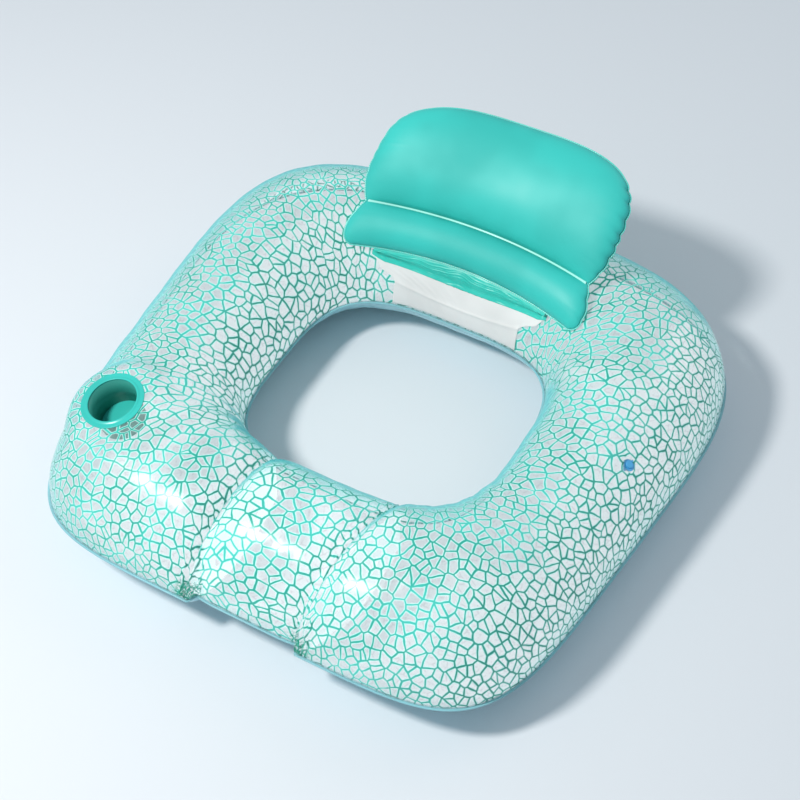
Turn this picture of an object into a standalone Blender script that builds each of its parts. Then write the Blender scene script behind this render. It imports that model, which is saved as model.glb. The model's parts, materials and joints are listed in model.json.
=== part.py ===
"""Inflatable pool lounger: a welded ring tube with a cup holder and a hinged two chamber backrest.

Metres, +Z up. The ring rests on the floor at z = 0, centred on the origin. The sitter faces -Y, so
the backrest stands at the rear, +Y, and the cup holder is near the front on the -X side.
"""
import math
from collections import namedtuple

import bmesh
import bpy
from mathutils import Matrix, Vector
from mathutils.bvhtree import BVHTree

# Ring outline, seen from above. A corner share is how far the rounded corner reaches towards the
# square one, as a share of the half sizes.
ring_half_width = 0.5425
ring_half_depth = 0.553
ring_front_corner_share = 0.891
ring_rear_corner_share = 0.813
ring_rear_widening_share = 0.106

# Seat hole
hole_half_width = 0.259
hole_half_depth = 0.2465
hole_corner_share = 0.8165
hole_setback = 0.017
fan_inset = 0.090

# Inflated tube. Its top film rises by the crown height above the seams, and more where the tube is
# wider than the plain stretches. The underside bulges less, tapers and is pressed flat by the floor.
plain_half_width = 0.140
plain_crown_height = 0.150
swell_share = 0.42
underside_bulge_share = 0.663
underside_taper = 1.25
seam_height_share = 0.647
seam_height = plain_crown_height * seam_height_share
sheet_thickness = 0.0004
fit_clearance = 0.0003
film_gap = 0.0004

# Welded seams round the ring and round the hole
seam_width = 0.005
seam_thickness = 0.0009

# Two baffles across the front of the tube hold its top and bottom together, which creases it
left_baffle_x = -0.098
right_baffle_x = 0.1425
right_baffle_slant = 0.0165
slant_reach = 0.140
baffle_thickness = 0.0005
baffle_vent_radius = 0.018
baffle_vent_spacing = 0.110
crease_reach = 0.060
crease_depth_share = 0.30
crease_notch = 0.009
hole_notch = 0.003
front_panel_inset = 0.0145
inset_run = 0.012

# Cup holder, set in from the ring's left side and front. Its rim sits on the film at a share of the
# tube's height there.
cup_side_inset = 0.1598
cup_front_inset = 0.2115
cup_x = cup_side_inset - ring_half_width
cup_y = cup_front_inset - ring_half_depth
cup_seat_share = 0.9253
cup_opening_radius = 0.0465
cup_rim_radius = 0.0602
cup_rim_thickness = 0.0018
cup_floor_radius = 0.0422
cup_depth = 0.060
cup_wall_thickness = 0.0009
cup_floor_thickness = 0.0012
cup_side_tilt_deg = 7.5
cup_front_tilt_deg = 10.7
cup_flat_margin = 0.008
cup_flat_blend = 0.050

# Bare white panel and hinge flap on the slope of the tube behind the seat hole
panel_half_width = 0.165
panel_thickness = 0.0003
panel_lower_margin_share = 0.18
flap_half_width = 0.215
flap_thickness = 0.0004
flap_weld_width = 0.010
flap_slack = 0.004

# Backrest: its divider weld stands behind the seat hole's edge by a share of the tube's width, and
# above the tube by a rise. It leans back from upright and folds about the hinge in front of it.
backrest_setback_share = 0.2055
backrest_rise = 0.03055
backrest_lean_deg = 50.7
backrest_bow = 0.034
backrest_bow_half_width = 0.250
hinge_forward = 0.078
hinge_drop = 0.072

# Upper pillow of the backrest. Its -X end leans inwards by the sway at the top and stands lower by
# the drop, as a soft pillow does that was not blown up quite full.
pillow_half_width = 0.2657
pillow_height = 0.2435
pillow_widest_height = 0.100
pillow_corner_share = 0.792
pillow_sway = 0.018
pillow_drop = 0.008
pillow_front_bulge = 0.050
pillow_rear_bulge = 0.034

# Lower roll of the backrest
roll_half_width = 0.259
roll_height = 0.053
roll_corner_droop = 0.040
roll_front_bulge = 0.032
roll_rear_bulge = 0.010
roll_widest_share = 0.667

# How square the cushions' crowns are: 2 is an ellipse, more is flatter with tighter shoulders
pillow_crown_across = 3.5
pillow_crown_along = 2.3
roll_crown_across = 4.0
roll_crown_along = 2.2

# Welds of the backrest
nip_half_width = 0.241
divider_rise = 0.027
divider_width = 0.0036
divider_thickness = 0.0005
flange_width = 0.005
flange_thickness = 0.0009

# Valves, one for each air chamber
valve_flange_radius = 0.0115
valve_flange_thickness = 0.0007
valve_stem_radius = 0.0050
valve_stem_wall = 0.0014
valve_stem_depth = 0.018
valve_collar_radius = 0.0064
valve_collar_thickness = 0.0012
valve_plug_head_radius = 0.0068
valve_plug_head_thickness = 0.0022
valve_plug_length = 0.010
valve_flap_thickness = 0.0006
tether_width = 0.0026
tether_thickness = 0.0008
tether_loop = 0.0046
ring_valve_side_share = 0.7725
ring_valve_y = 0.0027
backrest_valve_side_share = 0.45
backrest_valve_height_share = 0.36

# Mesh density
ring_station_count = 54
corner_density = 0.130
ring_row_shares = (0.0, 0.09, 0.18, 0.30, 0.43, 0.57, 0.71, 0.85, 1.0)
crease_station_shares = (-0.85, -0.45, -0.18, 0.0, 0.18, 0.45, 0.85)
cup_station_shares = (-1.0, -0.33, 0.33, 1.0)
pillow_row_shares = (0.0, 0.05, 0.16, 0.32, 0.50, 0.68, 0.84, 0.95, 1.0)
roll_row_shares = (0.0, 0.10, 0.32, 0.55, 0.78, 0.94, 1.0)
backrest_column_shares = (0.0, 0.2, 0.4, 0.58, 0.74, 0.87, 0.95, 1.0)
outline_samples = 720
turned_steps = 32
small_turned_steps = 20
tether_bend_steps = 6
halving_steps = 40
merge_distance = 0.00001

Station = namedtuple("Station", "length inner outer middle outward half_width crown_height")


def exponent_of(corner_share):
    """Superellipse exponent whose 45 degree point lies at corner_share of both half sizes."""
    return math.log(0.5) / math.log(corner_share)


def clear_scene():
    for old in list(bpy.data.objects):
        bpy.data.objects.remove(old, do_unlink=True)


def make_collection(name):
    made = bpy.data.collections.new(name)
    bpy.context.scene.collection.children.link(made)
    return made


def make_material(name, colour, roughness, alpha=1.0):
    made = bpy.data.materials.new(name)
    made.use_nodes = True
    shader = made.node_tree.nodes["Principled BSDF"]
    shader.inputs["Base Color"].default_value = (*colour, 1.0)
    shader.inputs["Roughness"].default_value = roughness
    shader.inputs["Metallic"].default_value = 0.0
    shader.inputs["Alpha"].default_value = alpha
    made.diffuse_color = (*colour, alpha)
    return made


def add_object(name, bm, material, smooth=True):
    mesh = bpy.data.meshes.new(name)
    bm.to_mesh(mesh)
    bm.free()
    mesh.materials.append(material)
    if smooth:
        mesh.shade_smooth()
    made = bpy.data.objects.new(name, mesh)
    lounger.objects.link(made)
    return made


def solidify(target, thickness, outward=False):
    shell = target.modifiers.new("sheet_thickness", "SOLIDIFY")
    shell.thickness = thickness
    shell.offset = 1.0 if outward else -1.0
    return shell


def cut(target, cutter):
    cutter.hide_render = True
    cutter.display_type = "WIRE"
    opening = target.modifiers.new("cut_" + cutter.name, "BOOLEAN")
    opening.operation = "DIFFERENCE"
    opening.object = cutter


def cylinder_cutter(name, radius, half_length, placement):
    bm = bmesh.new()
    bmesh.ops.create_cone(
        bm,
        cap_ends=True,
        segments=turned_steps,
        radius1=radius,
        radius2=radius,
        depth=2 * half_length,
    )
    mesh = bpy.data.meshes.new(name)
    bm.to_mesh(mesh)
    bm.free()
    made = bpy.data.objects.new(name, mesh)
    cutters.objects.link(made)
    made.matrix_world = placement
    return made


def turned(name, profile, material, placement, steps, closed=True):
    """A profile of (radius, height) points, turned round local Z. It runs down its outer side."""
    bm = bmesh.new()
    points = [bm.verts.new((radius, 0.0, height)) for radius, height in profile]
    for first, second in zip(points, points[1:]):
        bm.edges.new((first, second))
    if closed:
        bm.edges.new((points[-1], points[0]))
    made = add_object(name, bm, material)
    screw = made.modifiers.new("turn", "SCREW")
    screw.steps = steps
    screw.render_steps = steps
    screw.use_merge_vertices = True
    screw.merge_threshold = merge_distance
    made.matrix_world = placement
    return made


def grid_mesh(rows, flip=False, wrap=False):
    """Quads over a table of points. With wrap, the last row joins the first one."""
    bm = bmesh.new()
    table = [[bm.verts.new(point) for point in row] for row in rows]
    following = table[1:] + table[:1] if wrap else table[1:]
    for near, far in zip(table, following):
        for k in range(len(near) - 1):
            corners = [near[k], far[k], far[k + 1], near[k + 1]]
            if flip:
                corners.reverse()
            bm.faces.new(corners)
    return bm


def band_loop(name, sections, material):
    """A closed band lofted round a loop of four cornered sections."""
    bm = bmesh.new()
    table = [[bm.verts.new(point) for point in section] for section in sections]
    for near, far in zip(table, table[1:] + table[:1]):
        for k in range(4):
            following = (k + 1) % 4
            bm.faces.new((near[k], far[k], far[following], near[following]))
    bmesh.ops.recalc_face_normals(bm, faces=bm.faces)
    return add_object(name, bm, material)


def tree_of(rows, wrap=False):
    bm = grid_mesh(rows, wrap=wrap)
    bmesh.ops.triangulate(bm, faces=bm.faces)
    tree = BVHTree.FromBMesh(bm)
    bm.free()
    return tree


def placed_along(origin, axis):
    return Matrix.Translation(origin) @ axis.to_track_quat("Z", "Y").to_matrix().to_4x4()


def seated(tree, origin, axis, radii):
    """The point on the axis where a flat ring of these radii comes to rest on the surface."""
    frame = placed_along(origin, axis)
    reach = plain_crown_height
    best = -reach
    for radius in radii:
        for k in range(4 * turned_steps):
            turn = 2 * math.pi * k / (4 * turned_steps)
            start = frame @ Vector((radius * math.cos(turn), radius * math.sin(turn), reach))
            hit = tree.ray_cast(start, -axis, 2 * reach)
            if hit[0] is not None:
                best = max(best, reach - hit[3])
    return origin + axis * best


def carry(parent, *children):
    for child in children:
        child.parent = parent
        child.matrix_parent_inverse = parent.matrix_world.inverted()


# Ring outline and stations


def outline_level(point, half_width, half_depth, front_share, rear_share, widening_share, setback):
    """Below 1 inside a rounded outline, above 1 outside it."""
    depth = (point.y - setback) / half_depth
    width = point.x / (half_width * (1 + widening_share * depth))
    exponent = exponent_of(rear_share if depth > 0 else front_share)
    return abs(width) ** exponent + abs(depth) ** exponent


def ring_level(point):
    return outline_level(
        point, ring_half_width, ring_half_depth,
        ring_front_corner_share, ring_rear_corner_share, ring_rear_widening_share, 0.0,
    )


def hole_level(point):
    return outline_level(
        point, hole_half_width, hole_half_depth, hole_corner_share, hole_corner_share, 0.0, hole_setback
    )


def crossing(start, direction, level, reach):
    """Where a ray from start meets the outline, by halving."""
    inside = level(start) < 1
    near, far = 0.0, reach
    for _ in range(halving_steps):
        middle = (near + far) / 2
        if (level(start + direction * middle) < 1) == inside:
            near = middle
        else:
            far = middle
    return start + direction * near


def centre_line():
    """Closed line midway between the two outlines, as points and lengths run so far."""
    half_width = (ring_half_width + hole_half_width) / 2
    front_depth = (ring_half_depth + hole_half_depth - hole_setback) / 2
    rear_depth = (ring_half_depth + hole_half_depth + hole_setback) / 2
    points = []
    for k in range(outline_samples):
        turn = 2 * math.pi * k / outline_samples
        across, along = math.cos(turn), math.sin(turn)
        depth = rear_depth if along > 0 else front_depth
        ring_share = ring_rear_corner_share if along > 0 else ring_front_corner_share
        exponent = exponent_of((ring_share + hole_corner_share) / 2)
        reach = (abs(across / half_width) ** exponent + abs(along / depth) ** exponent) ** (-1 / exponent)
        widening = 1 + ring_rear_widening_share / 2 * reach * along / depth
        points.append(Vector((reach * across * widening, reach * along, 0.0)))
    lengths = [0.0]
    for near, far in zip(points, points[1:] + points[:1]):
        lengths.append(lengths[-1] + (far - near).length)
    return points, lengths


def front_length_at(x):
    """Length along the centre line where its front stretch passes x."""
    for k, point in enumerate(line_points):
        following = line_points[(k + 1) % outline_samples]
        if point.y < 0 and point.x <= x < following.x:
            share = (x - point.x) / (following.x - point.x)
            return line_lengths[k] + share * (line_lengths[k + 1] - line_lengths[k])
    raise ValueError("no front stretch at this x")


def rear_length_at(x):
    """Length along the centre line where its rear stretch passes x."""
    for k, point in enumerate(line_points):
        following = line_points[(k + 1) % outline_samples]
        if point.y > 0 and following.x <= x < point.x:
            share = (point.x - x) / (point.x - following.x)
            return line_lengths[k] + share * (line_lengths[k + 1] - line_lengths[k])
    raise ValueError("no rear stretch at this x")


def on_line(length):
    length = length % line_lengths[-1]
    low, high = 0, outline_samples
    while high - low > 1:
        middle = (low + high) // 2
        if line_lengths[middle] <= length:
            low = middle
        else:
            high = middle
    near = line_points[low]
    far = line_points[(low + 1) % outline_samples]
    return near.lerp(far, (length - line_lengths[low]) / (line_lengths[low + 1] - line_lengths[low]))


def pinch(length):
    """1 at a baffle, falling to 0 on either side as the film rolls over into the round tube."""
    nearest = min(abs(length - place) for place in baffle_lengths)
    part = max(0.0, 1 - nearest / crease_reach)
    return 1 - math.sqrt(1 - part * part)


def drawn_in(length):
    """How far the front panel between the baffles stands back from the ring's outline."""
    first, last = baffle_lengths
    inside = min(length - first, last - length)
    part = min(1.0, max(0.0, inside / inset_run))
    return part * (front_panel_inset + crease_notch * pinch(length))


def slant(length):
    """The right baffle's ends are shifted along the tube, its inner end forward, its outer end back."""
    return right_baffle_slant * max(0.0, 1 - abs(length - baffle_lengths[1]) / slant_reach)


def plain_edges(length):
    """Points on the outlines of the hole and of the ring, on one line across the tube.

    These lines are parallel on the straight stretches. Round each corner they fan out from a point
    inside the hole, so no two of them cross on the film.
    """
    centre = on_line(length)
    side_reach, end_reach = hole_half_width - fan_inset, hole_half_depth - fan_inset
    fan_x = max(-side_reach, min(side_reach, centre.x))
    fan_y = max(hole_setback - end_reach, min(hole_setback + end_reach, centre.y))
    outward = (centre - Vector((fan_x, fan_y, 0.0))).normalized()
    outer = crossing(centre, outward, ring_level, ring_half_width)
    inner = crossing(centre, -outward, hole_level, hole_half_width)
    return inner, outer, outward


def station_at(length):
    inner, _, inner_way = plain_edges(length + slant(length))
    _, outer, outer_way = plain_edges(length - slant(length))
    outer = outer - outer_way * drawn_in(length)
    inner = inner + inner_way * hole_notch * pinch(length)
    outward = (outer - inner).normalized()
    half_width = (outer - inner).length / 2
    swell = (half_width / plain_half_width) ** swell_share
    crown_height = plain_crown_height * swell * (1 - crease_depth_share * pinch(length))
    return Station(length, inner, outer, (inner + outer) / 2, outward, half_width, crown_height)


def even_lengths():
    """Lengths along the centre line that divide the outer outline evenly, closer at its corners."""
    lengths = [line_lengths[-1] * k / outline_samples for k in range(outline_samples + 1)]
    outline = [plain_edges(length)[1] for length in lengths]
    outline.append(outline[1])
    spread = [0.0]
    for near, middle, far in zip(outline, outline[1:], outline[2:]):
        turned_by = (middle - near).angle(far - middle)
        spread.append(spread[-1] + (middle - near).length + corner_density * turned_by)
    spacing = spread[-1] / ring_station_count
    chosen = []
    for length, place in zip(lengths, spread):
        if place >= spacing * len(chosen):
            chosen.append(length)
    return chosen[:ring_station_count]


def ring_stations():
    """Stations round the ring, with extra ones at the creases, the cup and the panel's and flap's ends."""
    panel_ends = (flap_half_width, panel_half_width, -panel_half_width, -flap_half_width)
    marks = [rear_length_at(x) for x in panel_ends]
    for place in baffle_lengths:
        marks += [place + share * crease_reach for share in crease_station_shares]
    cup_reach = cup_rim_radius + cup_flat_margin
    marks += [nearest_length(cup_x, cup_y) + share * cup_reach for share in cup_station_shares]
    apart = line_lengths[-1] / ring_station_count / 3
    even = [length for length in even_lengths() if min(abs(length - mark) for mark in marks) > apart]
    even = [
        length for length in even
        if min(abs(length - place) for place in baffle_lengths) > crease_reach
    ]
    return [station_at(length) for length in sorted(marks + even)]


def nearest_length(x, y):
    """Length along the centre line of its point nearest to this place."""
    place = Vector((x, y, 0.0))
    return min(zip(line_lengths, line_points), key=lambda pair: (pair[1] - place).length)[0]


def cup_axis():
    tilt = Matrix.Rotation(math.radians(cup_front_tilt_deg), 4, "X")
    tilt = Matrix.Rotation(-math.radians(cup_side_tilt_deg), 4, "Y") @ tilt
    return (tilt @ Vector((0.0, 0.0, 1.0))).normalized()


def cup_seat_point():
    height = cup_seat_share * station_at(nearest_length(cup_x, cup_y)).crown_height
    return Vector((cup_x, cup_y, seam_height + height))


def drawn_to_cup(point):
    """The film is pulled flat under the cup holder's rim and eases back to round beyond it."""
    height = (point - cup_seat).dot(cup_axis())
    away = (point - cup_seat - cup_axis() * height).length
    flat = cup_rim_radius + cup_flat_margin
    part = min(1.0, max(0.0, (flat + cup_flat_blend - away) / cup_flat_blend))
    return point - cup_axis() * (height * part * part * (3 - 2 * part))


def section_offsets(station, share, side):
    """Reach across the tube and rise off the seams, at a share of the half turn from the hole's seam."""
    turn = math.pi * (1 - share)
    along, off = math.cos(turn), math.sin(turn)
    bulge = station.crown_height
    if side < 0:
        bulge *= underside_bulge_share
        along = math.copysign(abs(along) ** underside_taper, along)
        off = abs(off) ** underside_taper
    rise = film_gap / 2 + (bulge - film_gap / 2) * off
    if side < 0:
        rise = min(rise, seam_height)
    return station.half_width * along, rise


def section_point(station, share, side):
    """On the tube's skin, at a share of the half turn from the hole's seam to the outer seam."""
    reach, rise = section_offsets(station, share, side)
    point = station.middle + station.outward * reach
    point.z = seam_height + side * rise
    return point


def sheet_rows(side):
    rows = [[section_point(station, share, side) for share in ring_row_shares] for station in stations]
    if side < 0:
        return rows
    return [[row[0]] + [drawn_to_cup(point) for point in row[1:-1]] + [row[-1]] for row in rows]


def make_ring_sheet(name, side, material):
    sheet = add_object(name, grid_mesh(sheet_rows(side), flip=side > 0, wrap=True), material)
    solidify(sheet, sheet_thickness)
    return sheet


def make_ring_seam(name, edges, material):
    """edges holds, for each station, the skin's edge point and the way out from it."""
    half = Vector((0.0, 0.0, seam_thickness / 2))
    sections = []
    for edge, away in edges:
        near = edge + away * fit_clearance
        far = near + away * seam_width
        near.z = far.z = seam_height
        sections.append((near + half, far + half, far - half, near - half))
    return band_loop(name, sections, material)


def make_baffle(name, length, material):
    """Upright web inside the tube, its edges following both sheets, with two air vents."""
    station = station_at(length)
    inset = sheet_thickness + fit_clearance
    shares = ring_row_shares[2:-1]
    over = [section_offsets(station, share, 1) for share in shares]
    under = [section_offsets(station, share, -1) for share in reversed(shares)]
    top = [(x, rise - 3 * inset) for x, rise in over]
    bottom = [(x, 2 * inset - rise) for x, rise in under]
    curve = bpy.data.curves.new(name, "CURVE")
    curve.dimensions = "2D"
    curve.fill_mode = "BOTH"
    curve.extrude = baffle_thickness / 2
    outline = curve.splines.new("POLY")
    outline.points.add(len(top + bottom) - 1)
    for point, (x, y) in zip(outline.points, top + bottom):
        point.co = (x, y, 0.0, 1.0)
    outline.use_cyclic_u = True
    for side in (-1, 1):
        vent = curve.splines.new("POLY")
        vent.points.add(small_turned_steps - 1)
        for k, point in enumerate(vent.points):
            turn = 2 * math.pi * k / small_turned_steps
            x = side * baffle_vent_spacing / 2 + baffle_vent_radius * math.cos(turn)
            point.co = (x, baffle_vent_radius * math.sin(turn), 0.0, 1.0)
        vent.use_cyclic_u = True
    curve.materials.append(material)
    web = bpy.data.objects.new(name, curve)
    lounger.objects.link(web)
    up = Vector((0.0, 0.0, 1.0))
    facing = station.outward.cross(up)
    place = station.middle + up * seam_height
    web.matrix_world = Matrix.Translation(place) @ Matrix(
        (station.outward, up, facing)
    ).transposed().to_4x4()
    return web


# Cup holder


def make_cup_holder(top_sheet, tree):
    axis = cup_axis()
    wall_radius = cup_opening_radius + cup_wall_thickness
    radii = (wall_radius, (wall_radius + cup_rim_radius) / 2, cup_rim_radius)
    seat = seated(tree, cup_seat, axis, radii) + axis * fit_clearance
    placement = placed_along(seat, axis)
    soft = cup_rim_thickness / 3
    turned(
        "cup_holder_rim",
        (
            (cup_rim_radius - soft, cup_rim_thickness),
            (cup_rim_radius, cup_rim_thickness - soft),
            (cup_rim_radius, 0.0),
            (cup_opening_radius, 0.0),
            (cup_opening_radius, cup_rim_thickness - soft),
            (cup_opening_radius + soft, cup_rim_thickness),
        ),
        turquoise, placement, turned_steps,
    )
    lower_inner = cup_floor_radius
    turned(
        "cup_holder_wall",
        (
            (wall_radius, -fit_clearance),
            (lower_inner + cup_wall_thickness, -cup_depth),
            (lower_inner, -cup_depth),
            (cup_opening_radius, -fit_clearance),
        ),
        turquoise, placement, turned_steps,
    )
    floor_top = -cup_depth - fit_clearance
    turned(
        "cup_holder_floor",
        (
            (0.0, floor_top),
            (lower_inner + cup_wall_thickness, floor_top),
            (lower_inner + cup_wall_thickness, floor_top - cup_floor_thickness),
            (0.0, floor_top - cup_floor_thickness),
        ),
        turquoise, placement, turned_steps, closed=False,
    )
    hole = cylinder_cutter("cup_hole", wall_radius + fit_clearance, cup_depth / 2, placement)
    cut(top_sheet, hole)
    return placement


# Panel and flap behind the seat hole


def skin_normal(station, share):
    """Outward normal of the tube's elliptic section."""
    turn = math.pi * (1 - share)
    normal = station.outward * (math.cos(turn) * station.crown_height)
    normal.z = math.sin(turn) * station.half_width
    return normal.normalized()


def rear_stations(half_width):
    """Stations of the rear stretch within this distance of the middle, from +X to -X."""
    first, last = rear_length_at(half_width), rear_length_at(-half_width)
    slack = fit_clearance
    return [station for station in stations if first - slack <= station.length <= last + slack]


def make_rear_panel():
    """Thin plain patch on the slope that faces the seat, from the flap down to the hole's seam."""
    low_share, middle_share, high_share = ring_row_shares[:3]
    rows = []
    for station in rear_stations(panel_half_width):
        low = section_point(station, low_share, 1)
        middle = section_point(station, middle_share, 1)
        high = section_point(station, high_share, 1)
        row = [low.lerp(middle, panel_lower_margin_share), middle, high]
        normals = [
            skin_normal(station, (low_share + middle_share) / 2),
            skin_normal(station, middle_share),
            skin_normal(station, high_share),
        ]
        rows.append([point + normal * fit_clearance for point, normal in zip(row, normals)])
    panel = add_object("rear_panel", grid_mesh(rows, flip=True), white)
    solidify(panel, panel_thickness, outward=True)
    return panel


def at_x(table, x):
    """The points at this x, between neighbouring entries of a table that runs along X."""
    for near, far in zip(table, table[1:]):
        if min(near[0].x, far[0].x) <= x <= max(near[0].x, far[0].x):
            part = (x - near[0].x) / (far[0].x - near[0].x)
            return [first.lerp(second, part) for first, second in zip(near, far)]
    raise ValueError("the table has nothing at this x")


def make_flap(lower_flange):
    """Strip welded to the tube above the panel, rising to lap behind the backrest's lower flange."""
    high_share, next_share = ring_row_shares[2:4]
    welded = []
    for station in rear_stations(flap_half_width):
        base = section_point(station, high_share, 1)
        above = section_point(station, next_share, 1)
        run = (above - base).normalized()
        normal = skin_normal(station, (high_share + next_share) / 2)
        lift = normal * 2 * fit_clearance
        start = base + run * flap_weld_width / 4 + lift
        welded.append((start, base + run * flap_weld_width + lift, normal))
    places = [start.x for start, _, _ in welded]
    for inner, _ in lower_flange:
        if abs(inner.x) < places[0] and min(abs(inner.x - x) for x in places) > 10 * fit_clearance:
            places.append(inner.x)
    _, _, _, front = backrest_frame()
    behind = front * -(flange_thickness / 2 + 2 * fit_clearance + flap_thickness)
    rows = []
    for x in sorted(places, reverse=True):
        start, weld_end, normal = at_x(welded, x)
        inner, outer = at_x(lower_flange, x)
        lap_end = (inner + outer) / 2 + behind
        lap_start = outer + (outer - inner) / 4 + behind
        middle = (weld_end + lap_start) / 2 + normal * flap_slack
        rows.append([start, weld_end, middle, lap_start, lap_end])
    flap = add_object("hinge_flap", grid_mesh(rows, flip=True), clear_teal)
    solidify(flap, flap_thickness, outward=True)
    return flap


# Backrest


def backrest_origin():
    behind = station_at(rear_length_at(0.0))
    place = behind.inner.lerp(behind.outer, backrest_setback_share)
    return Vector((0.0, place.y, seam_height + behind.crown_height + backrest_rise))


def backrest_frame():
    """Origin and the across, up and front directions of the backrest's middle plane."""
    lean = math.radians(backrest_lean_deg)
    across = Vector((1.0, 0.0, 0.0))
    up = Vector((0.0, math.sin(lean), math.cos(lean)))
    return divider_place, across, up, across.cross(up)


def pillow_top_height(x):
    """Height of the pillow's upper edge above the divider at this distance from the middle."""
    exponent = exponent_of(pillow_corner_share)
    fall = max(0.0, 1 - abs(x / pillow_half_width) ** exponent) ** (1 / exponent)
    return pillow_widest_height + (pillow_height - pillow_widest_height) * fall


def pillow_corner_half_width():
    return pillow_half_width * pillow_corner_share


def pillow_side(share):
    """Half width of the pillow at a share of the way from the divider to its upper corner."""
    height = share * pillow_top_height(pillow_corner_half_width())
    if height > pillow_widest_height:
        exponent = exponent_of(pillow_corner_share)
        part = (height - pillow_widest_height) / (pillow_height - pillow_widest_height)
        return pillow_half_width * (1 - part ** exponent) ** (1 / exponent)
    part = 1 - height / pillow_widest_height
    return pillow_half_width - (pillow_half_width - nip_half_width) * part ** 3


def roll_side(share):
    """Half width of the roll at a share of the way from the divider to its lower corner."""
    swell = math.sin(math.pi / 2 * share / roll_widest_share)
    return nip_half_width + (roll_half_width - nip_half_width) * swell


def rounded(part, power):
    """1 at part 0, falling to 0 at part 1 or -1 with a round shoulder."""
    return math.sqrt(max(0.0, 1 - abs(part) ** power))


def backrest_point(side_share, row_share, chamber, bulge):
    """Point of one face of the backrest. bulge is its height off the middle plane at the crown."""
    origin, across, up, front = backrest_frame()
    half_weld = divider_width / 2
    rise = divider_rise * (1 - side_share ** 2)
    if chamber == "pillow":
        slack = (1 - side_share) / 2
        x = side_share * pillow_side(row_share) + pillow_sway * slack * row_share
        top = pillow_top_height(side_share * pillow_corner_half_width()) - pillow_drop * slack
        height = row_share * top + (1 - row_share) * (rise + half_weld)
        crown = rounded(side_share, pillow_crown_across) * rounded(2 * row_share - 1, pillow_crown_along)
    else:
        x = side_share * roll_side(row_share)
        bottom = roll_height + roll_corner_droop * side_share ** 2
        height = (1 - row_share) * (rise - half_weld) - row_share * bottom
        crown = rounded(side_share, roll_crown_across) * rounded(2 * row_share - 1, roll_crown_along)
    bow = backrest_bow * (1 - (x / backrest_bow_half_width) ** 2)
    return origin + across * x + up * height + front * (bulge * crown - bow)


def backrest_rows(pillow_bulge, roll_bulge, offset):
    """Rows from the roll's lower edge to the pillow's upper edge, held off the middle plane."""
    _, _, _, front = backrest_frame()
    columns = [-share for share in reversed(backrest_column_shares[1:])] + list(backrest_column_shares)
    rows = []
    for share in reversed(roll_row_shares):
        rows.append([backrest_point(side, share, "roll", roll_bulge) for side in columns])
    for share in pillow_row_shares:
        rows.append([backrest_point(side, share, "pillow", pillow_bulge) for side in columns])
    return [[point + front * offset for point in row] for row in rows]


def make_backrest_sheets():
    gap = fit_clearance / 2
    front_rows = backrest_rows(pillow_front_bulge, roll_front_bulge, gap)
    rear_rows = backrest_rows(-pillow_rear_bulge, -roll_rear_bulge, -gap)
    front_sheet = add_object("backrest_front_sheet", grid_mesh(front_rows, flip=True), turquoise)
    rear_sheet = add_object("backrest_rear_sheet", grid_mesh(rear_rows), turquoise)
    solidify(front_sheet, sheet_thickness, outward=True)
    solidify(rear_sheet, sheet_thickness, outward=True)
    return front_sheet, rear_sheet, rear_rows


def make_edge_seam():
    """Flat welded flange all round the backrest, with the inner and free edge of its lower run."""
    _, _, _, front = backrest_frame()
    rows = backrest_rows(0.0, 0.0, 0.0)
    loop = [row[-1] for row in rows[:-1]] + list(reversed(rows[-1]))
    loop += [row[0] for row in reversed(rows[:-1])] + rows[0][1:-1]
    half = front * (flange_thickness / 2)
    sections = []
    for k, point in enumerate(loop):
        along = (loop[(k + 1) % len(loop)] - loop[k - 1]).normalized()
        away = along.cross(front)
        near = point + away * (2 * fit_clearance)
        far = near + away * flange_width
        sections.append((near + half, far + half, far - half, near - half))
    flange = band_loop("backrest_edge_seam", sections, turquoise)
    corner = len(loop) - len(rows[0]) + 1
    lower_run = sections[corner:] + sections[:1]
    lower_flange = [((a + d) / 2, (b + c) / 2) for a, b, c, d in lower_run]
    return flange, lower_flange


def make_divider_weld():
    """Pressed weld strip in the valley between the roll and the pillow."""
    _, _, up, front = backrest_frame()
    columns = [-share for share in reversed(backrest_column_shares[1:-1])] + list(backrest_column_shares[:-1])
    level = fit_clearance / 2 + sheet_thickness + fit_clearance
    rows = []
    for side in columns:
        low = backrest_point(side, 0.0, "roll", 0.0)
        high = backrest_point(side, 0.0, "pillow", 0.0)
        inward = (high - low).normalized() * 2 * fit_clearance
        rows.append([low + inward + front * level, high - inward + front * level])
    strip = add_object("backrest_divider_weld", grid_mesh(rows), turquoise)
    solidify(strip, divider_thickness, outward=True)
    return strip


# Valves


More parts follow.
